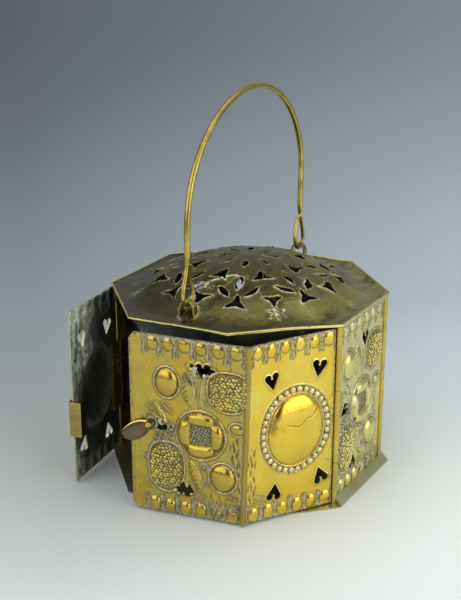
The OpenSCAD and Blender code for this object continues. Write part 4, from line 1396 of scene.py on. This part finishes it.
finish_of = {
    "base_plate": base_brass, "foot_moulding": base_brass, "coal_pan": pan_iron,
    # The door stop band takes the near-black inside finish as painted shade, for the gap between lid and
    # doors.
    "corner_beads": trim_brass, "rim_strips": pale_solder, "door_stop_band": inner_brass,
    "bail_eye_front": wire_brass, "bail_eye_back": wire_brass, "eye_rivet_heads": inner_brass,
    "case_knuckles_right": trim_brass, "case_knuckles_left": trim_brass,
    "hinge_pin_right": hinge_steel, "hinge_pin_left": hinge_steel,
    "narrow_door_knuckle": trim_brass, "keeper_sleeve": keeper_brass,
    "wide_door_bead": trim_brass, "wide_door_knuckle": trim_brass,
    "latch_washer": pale_solder, "latch_button": latch_brass, "latch_spindle": trim_brass,
    "latch_tail": inner_brass,
}
for node, material in finish_of.items():
    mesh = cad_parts[node].data
    mesh.materials.clear()
    mesh.materials.append(material)


# Studio: a floor with painted light, pale in front and on the right, and painted shade, grey far away and
# darker on the left; three soft boxes and a grey room


# The floor's painted light fades ahead of the viewer into painted shade, with the distances in metres and a
# warm grey in front
SHADED_TONE, SHADED_GAIN, SHADED_FADE = 0.26, 0.36, 2.5
FRONT, FADE_AT = 0.66, 0.75
BRIGHT_FRONT, BRIGHT_FAR = 0.95, 0.65
BRIGHT_FADE = (0.85, 1.3)
WARM_GREY, COOL_GREY = (0.95, 1.0, 0.98), (0.89, 1.0, 1.08)
WARM_LIGHT = (1, 0.985, 0.95)


def make_floor():
    """Floor with painted light in front and on the right, and painted shade far away and on the left."""
    mesh = bpy.data.meshes.new("floor")
    reach = 30.0
    corners = [(-reach, -reach, 0), (reach, -reach, 0), (reach, reach, 0), (-reach, reach, 0)]
    mesh.from_pydata(corners, [], [(0, 1, 2, 3)])
    floor = add_object("floor", mesh)
    n = Finish("pale_floor")
    place = n.new("Mapping")
    place.inputs["Rotation"].default_value = (0, 0, -VIEW_HEADING)
    place.inputs["Location"].default_value = (0, VIEW_REACH, 0)
    n.link(n.where, place.inputs["Vector"])
    parts = n.new("SeparateXYZ")
    n.link(place.outputs[0], parts.inputs[0])
    across, ahead = parts.outputs[0], parts.outputs[1]
    # Painted shade on the left side that deepens far away, and painted light on the right side that fades far
    # away.
    shaded = n.math("POWER", n.math("DIVIDE", FADE_AT, n.most(ahead, FRONT)), SHADED_FADE)
    shaded = n.plus(n.times(shaded, SHADED_GAIN), SHADED_TONE)
    bright = n.ramp(ahead, *BRIGHT_FADE, BRIGHT_FRONT, BRIGHT_FAR)
    side = n.math("DIVIDE", across, n.most(ahead, 0.35))
    tone = n.ramp(side, -0.2, 0.2, shaded, bright)
    tint = n.mix(n.ramp(ahead, *BRIGHT_FADE), WARM_GREY, COOL_GREY)
    n.done(n.mix(tone, (0, 0, 0), tint), 0.0, 0.8)
    mesh.materials.append(n.material)


def unit(azimuth, elevation):
    a, e = math.radians(azimuth), math.radians(elevation)
    return (math.cos(a) * math.cos(e), math.sin(a) * math.cos(e), math.sin(e))


def softbox(name, azimuth, elevation, distance, size, size_y, power, color=(1, 1, 1)):
    """Lamp that looks at the foot warmer from a direction in degrees, at a distance in metres."""
    aim = Vector((0, 0, 0.1))
    place = aim + distance * Vector(unit(azimuth, elevation))
    light = bpy.data.lights.new(name, "AREA")
    light.shape = "RECTANGLE"
    light.size, light.size_y = size, size_y
    light.energy = power
    light.color = color
    obj = bpy.data.objects.new(name, light)
    obj.location = place
    obj.rotation_mode = "QUATERNION"
    obj.rotation_quaternion = (aim - place).to_track_quat("-Z", "Y")
    bpy.context.collection.objects.link(obj)


def grey_room():
    """Grey surroundings, paler on the right and dark between the soft boxes."""
    world = bpy.data.worlds.new("studio")
    bpy.context.scene.world = world
    world.use_nodes = True
    n = Tree(world.node_tree)
    n.where = n.new("TexCoord").outputs["Generated"]

    def towards(direction):
        dot = n.new("VectorMath")
        dot.operation = "DOT_PRODUCT"
        n.link(n.where, dot.inputs[0])
        dot.inputs[1].default_value = direction
        return dot.outputs["Value"]

    light = n.ramp(towards(unit(62, 38)), -0.9, 1.0, 0.15, 0.46)
    light = n.times(light, n.ramp(towards(unit(-55, 26)), 0.80, 0.94, 1.0, 0.3))
    back = world.node_tree.nodes["Background"]
    back.inputs["Color"].default_value = (0.95, 1.0, 1.06, 1)
    n.link(light, back.inputs["Strength"])


def make_studio():
    make_floor()
    softbox("left_box", -114, 25, 1.5, size=2.4, size_y=1.1, power=10.8, color=WARM_LIGHT)
    softbox("right_box", -8, 18, 1.5, size=1.8, size_y=1.0, power=8.5, color=WARM_LIGHT)
    softbox("top_box", -60, 80, 1.7, size=2.2, size_y=2.2, power=14.6)
    grey_room()
    camera = bpy.data.cameras.new("camera")
    camera.lens = 66.0
    camera.sensor_width = 36.0
    camera.clip_start, camera.clip_end = 0.05, 60
    eye = add_object("camera", camera)
    eye.location = (0.4419, -0.7692, 0.4490)
    level = math.cos(VIEW_PITCH)
    ahead = Vector((-math.sin(VIEW_HEADING) * level, math.cos(VIEW_HEADING) * level, -math.sin(VIEW_PITCH)))
    eye.rotation_mode = "QUATERNION"
    eye.rotation_quaternion = ahead.to_track_quat("-Z", "Y")
    bpy.context.scene.camera = eye
    bpy.context.scene.view_settings.view_transform = "Standard"


make_studio()
